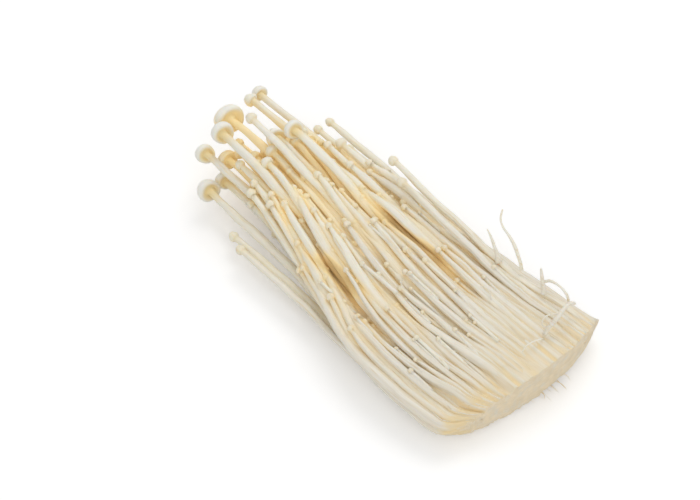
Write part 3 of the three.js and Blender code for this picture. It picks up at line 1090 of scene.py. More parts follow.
def add_mushroom(surface, m, rng):
    """One mushroom, grown as a single closed skin from its foot to the top of its cap."""
    large = float(smoothstep(m.cap, BEAD_UP_TO, SHIELD_FROM))
    sides = CAP_SIDES if m.cap > BROAD_CAP else STEM_SIDES
    line = wandering(spline(rooted(m.points), RING_STEP), rng)
    tangent, side, over = frames_along(line)
    x = line[:, 0]
    run = np.concatenate([[0], np.cumsum(np.linalg.norm(np.diff(line, axis=0), axis=1))])
    angle = np.arange(sides) / sides * 2 * math.pi
    phase = rng.uniform(0, 2 * math.pi, 8)

    radius = stem_radius(m, x, run, large, phase[:2])
    rim = radius[:, None] * stem_folds(angle, x, run, phase[[2, 3, 4, 7]], rng)
    reach = m.points[-1, 0]
    start, end = reach - np.array(ROUND_RUN)
    wide = mix(m.wide, 1.0, smoothstep(x, start, end))[:, None]
    flat_x = rim * np.cos(angle) * wide
    flat_y = rim * np.sin(angle) / np.sqrt(wide)
    stem_rings = flat_x[:, :, None] * side[:, None, :] + flat_y[:, :, None] * over[:, None, :]
    stem_rings = in_cut(line, stem_rings) + line[:, None, :]
    behind_cut = CUT_UNEVENNESS * m.tone
    stem_rings[0, :, 0] += behind_cut
    along_stem = np.broadcast_to(run[:, None], rim.shape)
    rest_stem = np.stack([along_stem, flat_x, flat_y], axis=-1)

    profile = mix(BEAD, SHIELD, large)
    end = StemEnd(line[-1], tangent[-1], side[-1], over[-1], radius[-1], run[-1])
    cap_rings, rest_cap, top = cap_skin(m, end, profile, large, phase[5:7], sides, rng)
    foot = line[0] + np.array([behind_cut, 0, 0])
    rings = np.concatenate([stem_rings, cap_rings])
    points = np.vstack([rings.reshape(-1, 3), foot, top])
    ends = [[0, 0, 0], [rest_cap[-1, 0, 0], 0, 0]]
    rest = np.vstack([np.concatenate([rest_stem, rest_cap]).reshape(-1, 3), ends])
    rest = rest + m.tone * np.array(REST_APART)

    pale = mix(PALE_BEAD, 1, large)
    creamy = CREAMY_BEAD * (1 - large)
    cap_value = np.repeat(np.concatenate([np.zeros(len(line)), pale * profile[:, 2]]), sides)
    # Painted golden shade on the stem just below its cap and on the cap's underside; small caps
    # also take a cream tint from the same colour.
    below = smoothstep(run, run[-1] - SHADE_BELOW_RUN * m.cap, run[-1])
    below = below * mix(SHADE_BELOW_BEAD, SHADE_BELOW_SHIELD, large)
    gill = np.maximum(profile[:, 3] * mix(BEAD_UNDER_SHADE, 1, large), creamy)
    under_shade_and_cream_value = np.repeat(np.concatenate([below, gill]), sides)
    # Painted shade: cracks and channels are marked deep, which turns the flesh beige, gold or
    # darker there, and channels are made ripe so that their shade is gold.
    golden = painted_channel_shade(points)
    surface.add(
        flattened(points), closed_faces(len(rings), sides), rest=rest,
        tone=np.full(len(points), m.tone),
        ripe=np.maximum(smoothstep(points[:, 0], *RIPE_FROM_TO), golden),
        cap=np.append(cap_value, [0, pale]), gill=np.append(under_shade_and_cream_value, [0, creamy]),
        deep=np.maximum(buried(points, m), golden) + golden,
    )


def in_cut(line, rings):
    """Rings near the cut lie along it, and turn upright to the stem further on."""
    places = line[:, None, :] + rings
    middle = face_recess(line[:, 1], line[:, 2])[:, None]
    cut = face_recess(places[:, :, 1], places[:, :, 2]) - middle
    upright = smoothstep(line[:, 0], *UPRIGHT_FROM_TO)[:, None]
    rings[:, :, 0] = mix(cut, rings[:, :, 0], upright)
    return rings


@dataclass
class StemEnd:
    """Where a stem goes over into its cap: its place, directions, radius and length so far."""

    place: np.ndarray
    tangent: np.ndarray
    side: np.ndarray
    over: np.ndarray
    radius: float
    run: float


def cap_skin(m, end, profile, large, phase, sides, rng):
    """A cap's rings, their places at rest, and its top."""
    angle = np.arange(sides) / sides * 2 * math.pi
    height = cap_height(m.cap)
    lean = rng.normal(0, CAP_LEAN, 2) * mix(BEAD_LEAN, 1.0, large)
    axis = end.tangent + lean[0] * end.side + lean[1] * end.over - large * np.array(CAP_DROOP)
    axis /= np.linalg.norm(axis)
    across = end.side - axis * (end.side @ axis)
    across /= np.linalg.norm(across)
    upward = np.cross(axis, across)
    oval = CAP_OVAL * np.cos(2 * angle + phase[0]) + CAP_LUMPS * np.cos(3 * angle + phase[1])
    share = profile[:, :1]
    least = np.minimum(end.radius * ROUND_STEM, m.cap * UNDER_AT_MOST)
    rim = np.maximum(m.cap * share, least) * (1 + oval[None, :] * smoothstep(share, *CAP_LUMPY))
    shift = m.cap * CAP_SHIFT * rng.normal(0, 1, 2)
    centres = (
        end.place
        + height * profile[:, 1:2] * axis
        + smoothstep(share, *CAP_SHIFTED) * (shift[0] * across + shift[1] * upward)
    )
    rings = rings_round(centres, rim, across[None], upward[None], sides)
    rise = np.broadcast_to((end.run + height * profile[:, 1])[:, None], rim.shape)
    rest = np.stack([rise, rim * np.cos(angle), rim * np.sin(angle)], axis=-1)
    return rings, rest, centres[-1] + axis * height * TOP_RISE


# ---------------------------------------------------------------- materials


def shader_tree(name, inputs, outputs):
    """An empty shader group with these named sockets."""
    tree = bpy.data.node_groups.new(name, "ShaderNodeTree")
    for label, kind, default in inputs:
        socket = tree.interface.new_socket(label, in_out="INPUT", socket_type=kind)
        if default is not None:
            socket.default_value = default
    for label, kind in outputs:
        tree.interface.new_socket(label, in_out="OUTPUT", socket_type=kind)
    return tree, tree.nodes.new("NodeGroupInput"), tree.nodes.new("NodeGroupOutput")


def node(tree, kind, links=None, **settings):
    """A node with its settings, and its inputs linked or set by name or number."""
    made = tree.nodes.new(kind)
    for key, value in settings.items():
        setattr(made, key, value)
    for key, value in (links or {}).items():
        socket = made.inputs[key]
        if isinstance(value, bpy.types.NodeSocket):
            tree.links.new(value, socket)
        else:
            socket.default_value = value
    return made


def maths(tree, operation, a, b, clamp=False):
    made = node(tree, "ShaderNodeMath", {0: a, 1: b}, operation=operation, use_clamp=clamp)
    return made.outputs[0]


def ramp(tree, value, start, end, low, high, kind="LINEAR"):
    """Low up to the start, high from the end on."""
    return node(tree, "ShaderNodeMapRange", {
        "Value": value, "From Min": start, "From Max": end, "To Min": low, "To Max": high,
    }, interpolation_type=kind).outputs[0]


def noise(tree, vector, scale, detail, roughness):
    return node(tree, "ShaderNodeTexNoise", {
        "Vector": vector, "Scale": scale, "Detail": detail, "Roughness": roughness,
    }).outputs[0]


def contrast(tree, value, middle, strength, clamp=False):
    """How far a value is from the middle, times the strength."""
    away = maths(tree, "SUBTRACT", value, middle)
    return maths(tree, "MULTIPLY", away, strength, clamp=clamp)


def stretched(tree, vector, shares):
    made = node(tree, "ShaderNodeVectorMath", {0: vector, 1: shares}, operation="MULTIPLY")
    return made.outputs[0]


def mixed(tree, a, b, factor, blend="MIX"):
    made = node(
        tree, "ShaderNodeMix", {"Factor": factor}, data_type="RGBA", blend_type=blend,
        clamp_factor=True,
    )
    for socket, value in zip((made.inputs[6], made.inputs[7]), (a, b)):
        if isinstance(value, bpy.types.NodeSocket):
            tree.links.new(value, socket)
        else:
            socket.default_value = (*value, 1) if len(value) == 3 else value
    return made.outputs[2]


# Fibres: how much of a stem's length counts against its width, how fine the fine ones are, and
# the broad ones' share of the streaks
FIBRE_STRETCH = 0.05
FINE_SCALE = 2.6
BROAD_SHARE = 0.55

# How much a mushroom's own tone and the mottling move its flesh from ivory to cream
TONE_SHIFT = 0.9
MOTTLE_SHIFT = 1.3

# How far painted shade darkens the cracks, how much their depth bends that, and how far the
# painted shade of the open gaps goes
CRACK_SHADE = 0.9
CRACK_POWER = 1.3
GAP_SHADE = 0.75


@functools.cache
def fibre_group():
    """Fibres that run the length of a stem: streaks of tone, and their height."""
    tree, given, result = shader_tree(
        "Lengthwise fibres",
        [("Rest", "NodeSocketVector", None), ("Fineness", "NodeSocketFloat", 1.0)],
        [
            ("Streaks", "NodeSocketFloat"), ("Height", "NodeSocketFloat"),
            ("Mottle", "NodeSocketFloat"),
        ],
    )
    rest = given.outputs["Rest"]
    long = stretched(tree, rest, (FIBRE_STRETCH, 1.0, 1.0))
    broad = noise(tree, long, scale=1.3, detail=2.0, roughness=0.5)
    fineness = maths(tree, "MULTIPLY", given.outputs["Fineness"], FINE_SCALE)
    fine = noise(tree, long, fineness, detail=3.0, roughness=0.6)
    broad_part = maths(tree, "MULTIPLY", broad, BROAD_SHARE)
    fine_part = maths(tree, "MULTIPLY", fine, 1 - BROAD_SHARE)
    tree.links.new(maths(tree, "ADD", broad_part, fine_part), result.inputs["Streaks"])
    tree.links.new(fine, result.inputs["Height"])
    mottle = noise(tree, rest, scale=0.42, detail=3.0, roughness=0.55)
    tree.links.new(mottle, result.inputs["Mottle"])
    return tree


@functools.cache
def flesh_group():
    """Colour of the flesh from how ripe it is, its place on cap or stem, and its fibres, with
    painted shade in the cracks, in the open gaps and under the caps.
    """
    colours = ("Ivory", "Cream", "Cap Colour", "Gold", "Beige", "Inside", "Pale")
    values = ("Ripe", "Cap", "Gill", "Deep", "Tone", "Streaks", "Mottle")
    tree, given, result = shader_tree(
        "Mushroom flesh colour",
        [
            *((name, "NodeSocketColor", None) for name in colours),
            *((name, "NodeSocketFloat", 0.5) for name in values),
        ],
        [("Color", "NodeSocketColor")],
    )
    out = given.outputs
    shift = contrast(tree, out["Tone"], 0.5, TONE_SHIFT)
    patch = contrast(tree, out["Mottle"], 0.5, MOTTLE_SHIFT)
    ripe = maths(tree, "ADD", maths(tree, "ADD", out["Ripe"], shift), patch, clamp=True)
    colour = mixed(tree, out["Ivory"], out["Cream"], ripe)
    dark = mixed(tree, out["Beige"], out["Ivory"], 1.0, "MULTIPLY")
    dark = mixed(tree, dark, out["Gold"], out["Ripe"])
    dark_streak = ramp(
        tree, out["Streaks"], start=0.52, end=0.72, low=0.0, high=0.6, kind="SMOOTHSTEP",
    )
    colour = mixed(tree, colour, dark, dark_streak)
    pale_streak = ramp(
        tree, out["Streaks"], start=0.48, end=0.3, low=0.0, high=0.65, kind="SMOOTHSTEP",
    )
    colour = mixed(tree, colour, out["Pale"], pale_streak)
    colour = mixed(tree, colour, out["Cap Colour"], out["Cap"])
    # Painted shade in the cracks: beige near the base, gold near the caps.
    crack = mixed(tree, out["Beige"], out["Gold"], out["Ripe"])
    shade = maths(tree, "POWER", out["Deep"], CRACK_POWER)
    colour = mixed(tree, colour, crack, maths(tree, "MULTIPLY", shade, CRACK_SHADE))
    # Painted darker shade at the bottom of the open gaps.
    open_gap = maths(tree, "SUBTRACT", out["Deep"], 1.0, clamp=True)
    colour = mixed(tree, colour, out["Inside"], maths(tree, "MULTIPLY", open_gap, GAP_SHADE))
    # Painted golden shade under the caps, and the cream tint of small caps.
    colour = mixed(tree, colour, out["Gold"], out["Gill"])
    tree.links.new(colour, result.inputs["Color"])
    return tree


FLESH_IOR = 1.4


def principled(material, colour, normal, roughness, specular):
    """A moist shader, with the values that are the same all over set on its sockets."""
    tree = material.node_tree
    shader = tree.nodes["Principled BSDF"]
    tree.links.new(colour, shader.inputs["Base Color"])
    tree.links.new(normal, shader.inputs["Normal"])
    shader.inputs["Roughness"].default_value = roughness
    shader.inputs["IOR"].default_value = FLESH_IOR
    shader.inputs["Specular IOR Level"].default_value = specular
    return shader


def read(tree, name, output="Fac"):
    return node(tree, "ShaderNodeAttribute", attribute_name=name).outputs[output]


@functools.cache
def flesh_material():
    """Moist mushroom flesh, ivory to cream, with fine lengthwise fibres, painted shade in its
    cracks and gaps, and a painted glow in the cracks.
    """
    finish = bpy.context.scene.enoki_finish
    material = bpy.data.materials.new("mushroom_flesh")
    material.use_nodes = True
    tree = material.node_tree
    fibres = node(tree, "ShaderNodeGroup", node_tree=fibre_group())
    tree.links.new(read(tree, "rest", "Vector"), fibres.inputs["Rest"])
    colour = node(tree, "ShaderNodeGroup", node_tree=flesh_group())
    for label, value in (
        ("Ivory", finish.ivory), ("Cream", finish.cream), ("Cap Colour", finish.cap),
        ("Gold", finish.gold), ("Beige", finish.beige), ("Inside", finish.inside),
        ("Pale", finish.pale),
    ):
        colour.inputs[label].default_value = (*value, 1)
    for label in ("Ripe", "Cap", "Gill", "Deep", "Tone"):
        tree.links.new(read(tree, label.lower()), colour.inputs[label])
    for label in ("Streaks", "Mottle"):
        tree.links.new(fibres.outputs[label], colour.inputs[label])
    bump = node(tree, "ShaderNodeBump", {
        "Height": fibres.outputs["Height"], "Strength": 0.4, "Distance": 0.00018,
    })
    shader = principled(
        material, colour.outputs["Color"], bump.outputs["Normal"],
        roughness=finish.stem_roughness, specular=0.42,
    )
    shader.inputs["Subsurface Weight"].default_value = 0.25
    shader.inputs["Subsurface Radius"].default_value = (1.0, 0.8, 0.6)
    shader.inputs["Subsurface Scale"].default_value = finish.glow_depth
    # Painted glow: the flesh gives off a little light of its own in the cracks.
    shader.inputs["Emission Strength"].default_value = 1.0
    tree.links.new(painted_glow_in_cracks(tree, finish.painted_crack_glow), shader.inputs["Emission Color"])
    return material


def painted_glow_in_cracks(tree, painted_crack_glow):
    """Painted glow, light that the flesh gives off itself in place of light coming through it:
    most in cracks, none in the open channels, and less where the feet have grown together."""
    deep = read(tree, "deep")
    open_gap = maths(tree, "SUBTRACT", deep, 1.0, clamp=True)
    crack = maths(tree, "POWER", deep, 2.0, clamp=True)
    crack = maths(tree, "SUBTRACT", crack, open_gap, clamp=True)
    free = ramp(tree, read(tree, "ripe"), start=0.0, end=0.08, low=0.65, high=1.0)
    return mixed(tree, (0, 0, 0), tuple(painted_crack_glow), maths(tree, "MULTIPLY", crack, free))


# The cut's darker colour is this much of its own and of gold. Then how high its pores and how low
# its cells are in its relief.
CUT_SHADOW = (0.72, 0.13)
PORE_HEIGHT = 0.9
CELL_DEPTH = 0.5


@functools.cache
def cut_material():
    """The sliced end: matt, beige, with the faint rounds of the feet that grew together."""
    finish = bpy.context.scene.enoki_finish
    material = bpy.data.materials.new("cut_flesh")
    material.use_nodes = True
    tree = material.node_tree
    rest = read(tree, "rest", "Vector")
    cells = node(tree, "ShaderNodeTexVoronoi", {
        "Vector": stretched(tree, rest, (0.2, 1.0, 1.0)), "Scale": 0.5, "Randomness": 0.9,
    }, feature="SMOOTH_F1").outputs["Distance"]
    patches = noise(tree, rest, scale=0.35, detail=5.0, roughness=0.65)
    drawn = stretched(tree, rest, (1.0, 0.25, 1.0))
    pores = noise(tree, drawn, scale=2.2, detail=4.0, roughness=0.65)
    cut = tuple(finish.cut)
    cut_share, gold_share = CUT_SHADOW
    darker = tuple(cut_share * c + gold_share * g for c, g in zip(cut, finish.gold))
    rounds = ramp(tree, cells, start=0.25, end=0.75, low=0.0, high=0.65)
    colour = mixed(tree, cut, darker, rounds)
    light = contrast(tree, patches, middle=0.46, strength=3.2, clamp=True)
    colour = mixed(tree, colour, tuple(finish.ivory), light)
    spots = contrast(tree, pores, middle=0.5, strength=3.6, clamp=True)
    colour = mixed(tree, colour, darker, spots)
    ups = maths(tree, "MULTIPLY", pores, PORE_HEIGHT)
    downs = maths(tree, "MULTIPLY", cells, -CELL_DEPTH)
    bump = node(tree, "ShaderNodeBump", {
        "Height": maths(tree, "ADD", ups, downs), "Strength": 0.7, "Distance": 0.0005,
    })
    principled(
        material, colour, bump.outputs["Normal"], roughness=finish.cut_roughness, specular=0.3,
    )
    return material


# ---------------------------------------------------------------- operators


# How many short mushrooms are joined into one piece
CLUMP = 8

# Pins: from and to where their tips lie, how much nearer the first they are on the whole, how
# much of the width they take up, and their length
PIN_TIPS = (16, 66)
PIN_TIP_POWER = 1.3
PIN_WIDTH = 0.88
PIN_LENGTH = (7, 14)

# How thick a pin's stem is, how much it tapers, how wide its cap is against it, its mesh, and its
# colour
PIN_STEM = (0.38, 0.55)
PIN_TAPER = (1.25, 0.95)
PIN_CAP = 1.55
PIN_SIDES = 10
PIN_STEP = 1.2
PIN_RIPE = 0.35
PIN_CREAMY = 0.26

# Where its foot is at the earliest, how far aside it drifts and how steep it gets over its length
PIN_FIRST = 6
PIN_DRIFT = 0.06
PIN_SLOPE = (-0.1, 0.15)

# Pins keep this far before, behind and beside a channel.
PIN_CLEAR = (8, 10, 2)

# How far a pin's foot is sunk into the stems under it, and how far its tip rises out of them.
# It lies on them as if they all had the same radius.
PIN_SUNK = -0.7
PIN_RAISED = 0.35
UNDER_PIN = 1.0


class ENOKI_OT_long_mushrooms(bpy.types.Operator):
    """Grows a detailed mushroom along the line of each solid one"""

    bl_idname = "enoki.long_mushrooms"
    bl_label = "Long mushrooms"

    def execute(self, context):
        rng = np.random.default_rng(context.scene.enoki_mushrooms.seed + 1)
        for m in long_mushrooms():
            surface = Surface()
            add_mushroom(surface, m, rng)
            piece = surface.build(m.node.replace("mushroom", "enoki"))
            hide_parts(m.node)
        return {"FINISHED"}


class ENOKI_OT_short_mushrooms(bpy.types.Operator):
    """Grows the shorter mushrooms, joined into clumps from one edge of the bunch to the other"""

    bl_idname = "enoki.short_mushrooms"
    bl_label = "Short mushrooms"

    def execute(self, context):
        rng = np.random.default_rng(context.scene.enoki_mushrooms.seed + 2)
        across = sorted(short_mushrooms(), key=lambda m: m.points[0, 1])
        for number, start in enumerate(range(0, len(across), CLUMP)):
            surface = Surface()
            for m in across[start:start + CLUMP]:
                add_mushroom(surface, m, rng)
            piece = surface.build(f"short_mushrooms_{number + 1:02d}")
        return {"FINISHED"}


def skin_height(stems, x, y):
    """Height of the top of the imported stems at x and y, at least the middle of the bunch."""
    best = section(x)[2] * 0.5
    for m in stems:
        if m.points[0, 0] <= x <= m.points[-1, 0]:
            centre = [np.interp(x, m.points[:, 0], m.points[:, i]) for i in (1, 2)]
            off = abs(y - centre[0])
            if off < UNDER_PIN:
                best = max(best, centre[1] + math.sqrt(UNDER_PIN**2 - off * off))
    return best


def pin_line(stems, tip_x, y, length, rng):
    """A nearly straight line that lies on the stems and ends at tip_x."""
    start = max(tip_x - length, PIN_FIRST)
    xs = np.linspace(start, tip_x, 5)
    drift = rng.uniform(-PIN_DRIFT, PIN_DRIFT) * (xs - start)
    tops = np.array([skin_height(stems, x, y + d) for x, d in zip(xs, drift)])
    slope, start_height = np.polyfit(xs - start, tops, 1)
    level = start_height + np.clip(slope, *PIN_SLOPE) * (xs - start)
    lift = mix(PIN_SUNK, PIN_RAISED, np.linspace(0, 1, 5) ** 0.7)
    return np.column_stack([xs, y + drift, level + lift])


def beside_channel(x, y):
    before, behind, beside = PIN_CLEAR
    return any(
        start - before < x < end + behind and abs(y - middle) < half + beside
        for start, end, middle, half in CHANNELS
    )


class ENOKI_OT_pins(bpy.types.Operator):
    """Scatters tiny pins, which stopped growing early, over the top of the bunch"""

    bl_idname = "enoki.pins"
    bl_label = "Pins"

    def execute(self, context):
        settings = context.scene.enoki_mushrooms
        rng = np.random.default_rng(settings.seed + 3)
        stems = [*long_mushrooms(), *short_mushrooms()]
        surface = Surface()
        for number in range(settings.pins):
            share = (number + rng.uniform(0.1, 0.9)) / settings.pins
            tip_x = mix(*PIN_TIPS, rng.random() ** PIN_TIP_POWER)
            middle, half, _ = section(tip_x)
            y = middle + mix(-PIN_WIDTH, PIN_WIDTH, share) * half
            length = rng.uniform(*PIN_LENGTH)
            if beside_channel(tip_x, y):
                continue
            line = pin_line(stems, tip_x, y, length, rng)
            stem = rng.uniform(*PIN_STEM)
            add_pin(surface, Mushroom(line, stem, stem, stem * PIN_CAP, tip_x, rng.random()))
        piece = surface.build("pins")
        return {"FINISHED"}


def add_pin(surface, m):
    """A pin has a thin stem of its own, and isn't rooted in the base."""
    line = spline(m.points, PIN_STEP)
    tangent, side, over = frames_along(line)
    radius = m.stem * mix(*PIN_TAPER, np.linspace(0, 1, len(line)))
    height = cap_height(m.cap)
    centres = np.vstack([line, line[-1] + height * BEAD[:, 1:2] * tangent[-1]])
    radii = np.concatenate([radius, np.maximum(m.cap * BEAD[:, 0], m.stem)])
    side = np.vstack([side, np.repeat(side[-1:], len(BEAD), axis=0)])
    over = np.vstack([over, np.repeat(over[-1:], len(BEAD), axis=0)])
    rings = rings_round(centres, radii, side, over, PIN_SIDES)
    top = centres[-1] + tangent[-1] * height * TOP_RISE
    points = np.vstack([rings.reshape(-1, 3), line[0], top])
    bead = np.repeat(np.concatenate([np.zeros(len(line)), BEAD[:, 2]]), PIN_SIDES)
    surface.add(
        points, closed_faces(len(rings), PIN_SIDES), tone=m.tone, ripe=PIN_RIPE,
        gill=PIN_CREAMY * np.append(bead, [0, 1]),
    )


# Loose threads, curls, and shoots that broke off to a point: radius where each leaves the
# bunch, radius at its end, and its line.
THREADS = (
    (0.8, 0.14, [(32, -19.6, 15.4), (32.7, -19.9, 16.8), (34.6, -20.4, 19), (37.2, -21.3, 20.8),
                 (39.3, -21.8, 22)]),
    (0.62, 0.3, [(16.4, -21.4, 13.8), (17.2, -22, 15.4), (18.5, -22.8, 17), (20.7, -24.3, 19)]),
    (0.55, 0.22, [(26, -22.6, 15), (26.7, -22.8, 16.8), (28, -23.1, 18.5), (30.5, -24.1, 20),
                  (33.5, -25, 21), (36.4, -25.4, 22), (38.8, -26.8, 22.5), (40.5, -29.3, 23.3)]),
    (0.45, 0.3, [(19.5, -24.2, 14), (17.6, -24.8, 15.8), (15.4, -24.6, 17), (12.8, -24.4, 17.3),
                 (10.5, -24, 16.8), (9, -23.6, 15.2)]),
    (0.6, 0.45, [(6.8, -11.4, 13.6), (6.6, -12, 15.2), (6.2, -13.5, 17.3), (6.2, -15.6, 18.4),
                 (7, -18.7, 18.3), (7.6, -22.2, 17.4), (7.5, -24.3, 15.6)]),
    (0.24, 0.14, [(7, -17.8, 16.2), (7.5, -16.9, 17.2), (8.1, -15.3, 18), (8.7, -13.5, 18),
                  (8.8, -12.3, 16.9), (8.2, -12.3, 15.4), (7.6, -13.8, 14.4)]),
    (0.22, 0.14, [(6.3, -10.4, 13.2), (6, -8.7, 14.8), (6.4, -6.6, 15.3), (6.9, -4.4, 15),
                  (6.8, -2.6, 13.8)]),
    (0.2, 0.1, [(24, -8.4, 15.2), (25.4, -9.2, 16.6), (27.4, -9.6, 17), (29, -9, 16.4)]),
    (0.18, 0.1, [(44, 6.5, 18.6), (43, 8, 19.8), (41, 8.8, 20), (39.4, 8.4, 19.2)]),
)


# Torn fibres at the cut: around where they hang, how spread out they are, at what height, how
# deep they are rooted and how far they hang out
FIBRE_MIDDLE = -5.0
FIBRE_SPREAD = 3.5
FIBRE_HEIGHT = (0.3, 1.8)
FIBRE_ROOT = 0.8
FIBRE_LENGTH = (1.2, 4.2)
FIBRE_RADIUS = (0.08, 0.14)
FIBRE_END = 0.04

# How far they lean aside and up or down over their length, and how they curl
FIBRE_ASIDE = 0.3
FIBRE_UPWARD = 0.1
FIBRE_TURNS = (0.8, 1.8)
FIBRE_CURL = 0.1
FIBRE_LOWEST = 0.15

# The mesh of threads and fibres, how much wider and flatter than round they are, how uneven, and
# their colour
THREAD_SIDES = 8
THREAD_STEP = 0.45
THREAD_WIDE = 1.25
THREAD_FLAT = 0.8
THREAD_UNEVENNESS = 0.1
THREAD_WAVES = 9
THREAD_RIPE = 0.2


def fibre_line(rng):
    """A short line that hangs out of the lower edge of the cut."""
    y = rng.normal(FIBRE_MIDDLE, FIBRE_SPREAD)
    root = behind_face(np.array([FIBRE_ROOT, y, rng.uniform(*FIBRE_HEIGHT)]))
    length = rng.uniform(*FIBRE_LENGTH)
    along = np.linspace(0, 1, 5)[:, None]
    aside = rng.normal(0, FIBRE_ASIDE) * length
    upward = rng.uniform(-FIBRE_UPWARD, FIBRE_UPWARD) * length
    pull = np.array([-length - FIBRE_ROOT, aside, upward])
    turns = rng.uniform(*FIBRE_TURNS)
    curl = np.sin(along * math.pi * turns) * rng.normal(0, FIBRE_CURL, 3) * length
    line = root + along * pull + curl
    line[:, 2] = np.maximum(line[:, 2], FIBRE_LOWEST)
    return line


class ENOKI_OT_threads(bpy.types.Operator):
    """Adds the loose threads and curls, and the torn fibres at the lower edge of the cut"""

    bl_idname = "enoki.threads"
    bl_label = "Threads"

    def execute(self, context):
        settings = context.scene.enoki_mushrooms
        rng = np.random.default_rng(settings.seed + 5)
        surface = Surface()
        for thick, thin, line in THREADS:
            add_thread(surface, line, thick, thin, rng)
        for _ in range(settings.fibres):
            line = fibre_line(rng)
            add_thread(surface, line, rng.uniform(*FIBRE_RADIUS), FIBRE_END, rng)
        piece = surface.build("threads")
        return {"FINISHED"}


def add_thread(surface, points, thick, thin, rng):
    """A thread of flesh that tapers and is rounded off at its end."""
    line = spline(points, THREAD_STEP)
    tangent, side, over = frames_along(line)
    along = np.linspace(0, 1, len(line))
    waves = np.sin(along * THREAD_WAVES + rng.uniform(0, 6))
    radius = mix(thick, thin, along**0.8) * (1 + THREAD_UNEVENNESS * waves)
    radius[-1] *= 0.5
    rings = rings_round(line, radius, side, over, THREAD_SIDES, (THREAD_WIDE, THREAD_FLAT))
    points = np.vstack([rings.reshape(-1, 3), line[0], line[-1] + tangent[-1] * radius[-1]])
    faces = closed_faces(len(rings), THREAD_SIDES)
    surface.add(points, faces, tone=rng.random(), ripe=THREAD_RIPE)


# ---------------------------------------------------------------- the cut base


# The line that the base's skin is measured from lies this far inside the bunch's section at the
# cut, and further in with x. Stems that lie deeper below it than the next value don't lift the
# skin, and none lifts or sinks it by more than the limits.
SKIN_INSET = 1.3
SKIN_INSET_GROWS = 0.04
DEEPEST_STEM = 3
BULGE_LIMITS = (-2.5, 2.4)

# How even the skin is made: rounds on all sides, then rounds for the level that the underside is
# held to, how far it stands out from that, by which slant it is all underside, and a level that
# holds nothing
SKIN_ROUNDS = 4
UNDERSIDE_ROUNDS = 80
UNDERSIDE_PROUD = 0.35
UNDERSIDE_BY = 0.4
NOT_HELD = -9


def spread_evenly(values, rounds):
    """Values round a ring, each mixed with its neighbours this many times."""
    for _ in range(rounds):
        values = (np.roll(values, 1) + values + np.roll(values, -1)) / 3
    return values


def envelope(x):
    """The outline of the fused flesh at x: the bunch's section, swollen where stems bulge it."""
    middles, radii, _ = crowd()
    slot = int(round(max(x, BASE_DEPTH + 1) / CROWD_STEP))
    centres, girths = middles[slot], radii[slot]
    middle, half, height = section(x)
    angle = np.arange(BASE_SAMPLES) / BASE_SAMPLES * 2 * math.pi
    cos, sin = np.cos(angle), np.sin(angle)
    power = 2 / SECTION_POWER
    inset = SKIN_INSET + SKIN_INSET_GROWS * x
    line = np.column_stack([
        middle + np.sign(cos) * np.abs(cos) ** power * (half - inset),
        height / 2 + np.sign(sin) * np.abs(sin) ** power * (height / 2 - inset),
    ])
    along = np.roll(line, -1, axis=0) - np.roll(line, 1, axis=0)
    along /= np.linalg.norm(along, axis=1)[:, None]
    outward = np.column_stack([along[:, 1], -along[:, 0]])
    away = centres[None, :, :] - line[:, None, :]
    up = (away * outward[:, None, :]).sum(axis=2)
    beside = (away * along[:, None, :]).sum(axis=2)
    bulge = up + np.sqrt(np.maximum(girths**2 - beside**2, 0))
    lifts = (np.abs(beside) < girths) & (up > -DEEPEST_STEM)
    bulge = np.where(lifts, bulge, -DEEPEST_STEM).max(axis=1)
    bulge = spread_evenly(bulge, SKIN_ROUNDS)
    even = spread_evenly(bulge, UNDERSIDE_ROUNDS)
    underside = smoothstep(-sin, 0, UNDERSIDE_BY)
    bulge = np.maximum(bulge, mix(NOT_HELD, even + UNDERSIDE_PROUD, underside))
    return line, outward, np.clip(bulge, *BULGE_LIMITS)


# The fused flesh: depth behind the cut, and how far it lies below the stems' skin.
FUSED = (
    (-0.04, 0.38), (0.03, 0.26), (0.3, 0.3), (1.0, 0.4), (2.5, 0.5), (4.5, 0.58), (7.0, 0.66),
    (9.5, 0.75), (12.0, 0.88), (15.0, 1.02), (18.0, 1.2), (21.0, 1.4), (24.0, 1.65), (27.0, 1.95),
    (30.0, 2.3), (33.0, 2.8),
)


# Vertices round the base, rings across its face, and the fine ridges along its skin: how many go
# round, how high they are, how far they drift with x, how deep in a crack the skin counts as for
# its painted shade, and how much less so on a ridge
BASE_SAMPLES = 900
FACE_RINGS = 16
RIDGES = (43, 61, 83, 107)
RIDGE_HEIGHT = 0.09
RIDGE_DRIFT = 0.2
SKIN_DEEP = 0.62
RIDGE_LESS = 0.16

# How uneven the edge of the cut and the cut itself are, how far its face stands out and swells,
# and half the length of the line that its rings close on
EDGE_UNEVENNESS = 0.06
FACE_UNEVENNESS = 0.012
FACE_PROUD = 0.07
FACE_SWELL = 0.03
FACE_SPINE = 21.0

# How deep in a crack the face counts as for its painted shade, and how deep and how wide the fused
# flesh ends inside
FACE_DEEP = 0.3
INNER_END = 12.0
INNER_WIDTH = 0.4
BASE_TONE = 0.35
BASE_RIPE = 0.03


def fused_skin(rng):
    """Rings of the base's skin from the cut on, and how deep in a crack each vertex is, which sets
    its painted shade.
    """
    at = np.arange(BASE_SAMPLES) / BASE_SAMPLES * 2 * math.pi
    waves = [
        (count, rng.uniform(0, 2 * math.pi), rng.uniform(-RIDGE_DRIFT, RIDGE_DRIFT))
        for count in RIDGES
    ]
    rings, valleys = [], []
    for x, inset in FUSED:
        line, outward, bulge = envelope(x)
        ridges = sum(np.sin(count * at + phase + drift * x) for count, phase, drift in waves)
        out = bulge - inset + RIDGE_HEIGHT * ridges
        rings.append(np.column_stack([np.full(BASE_SAMPLES, x), line + outward * out[:, None]]))
        valleys.append(SKIN_DEEP - RIDGE_LESS * ridges)
    edge = rng.normal(0, EDGE_UNEVENNESS, BASE_SAMPLES)
    for ring in rings[:3]:
        ring[:, 0] += edge
    return rings, valleys


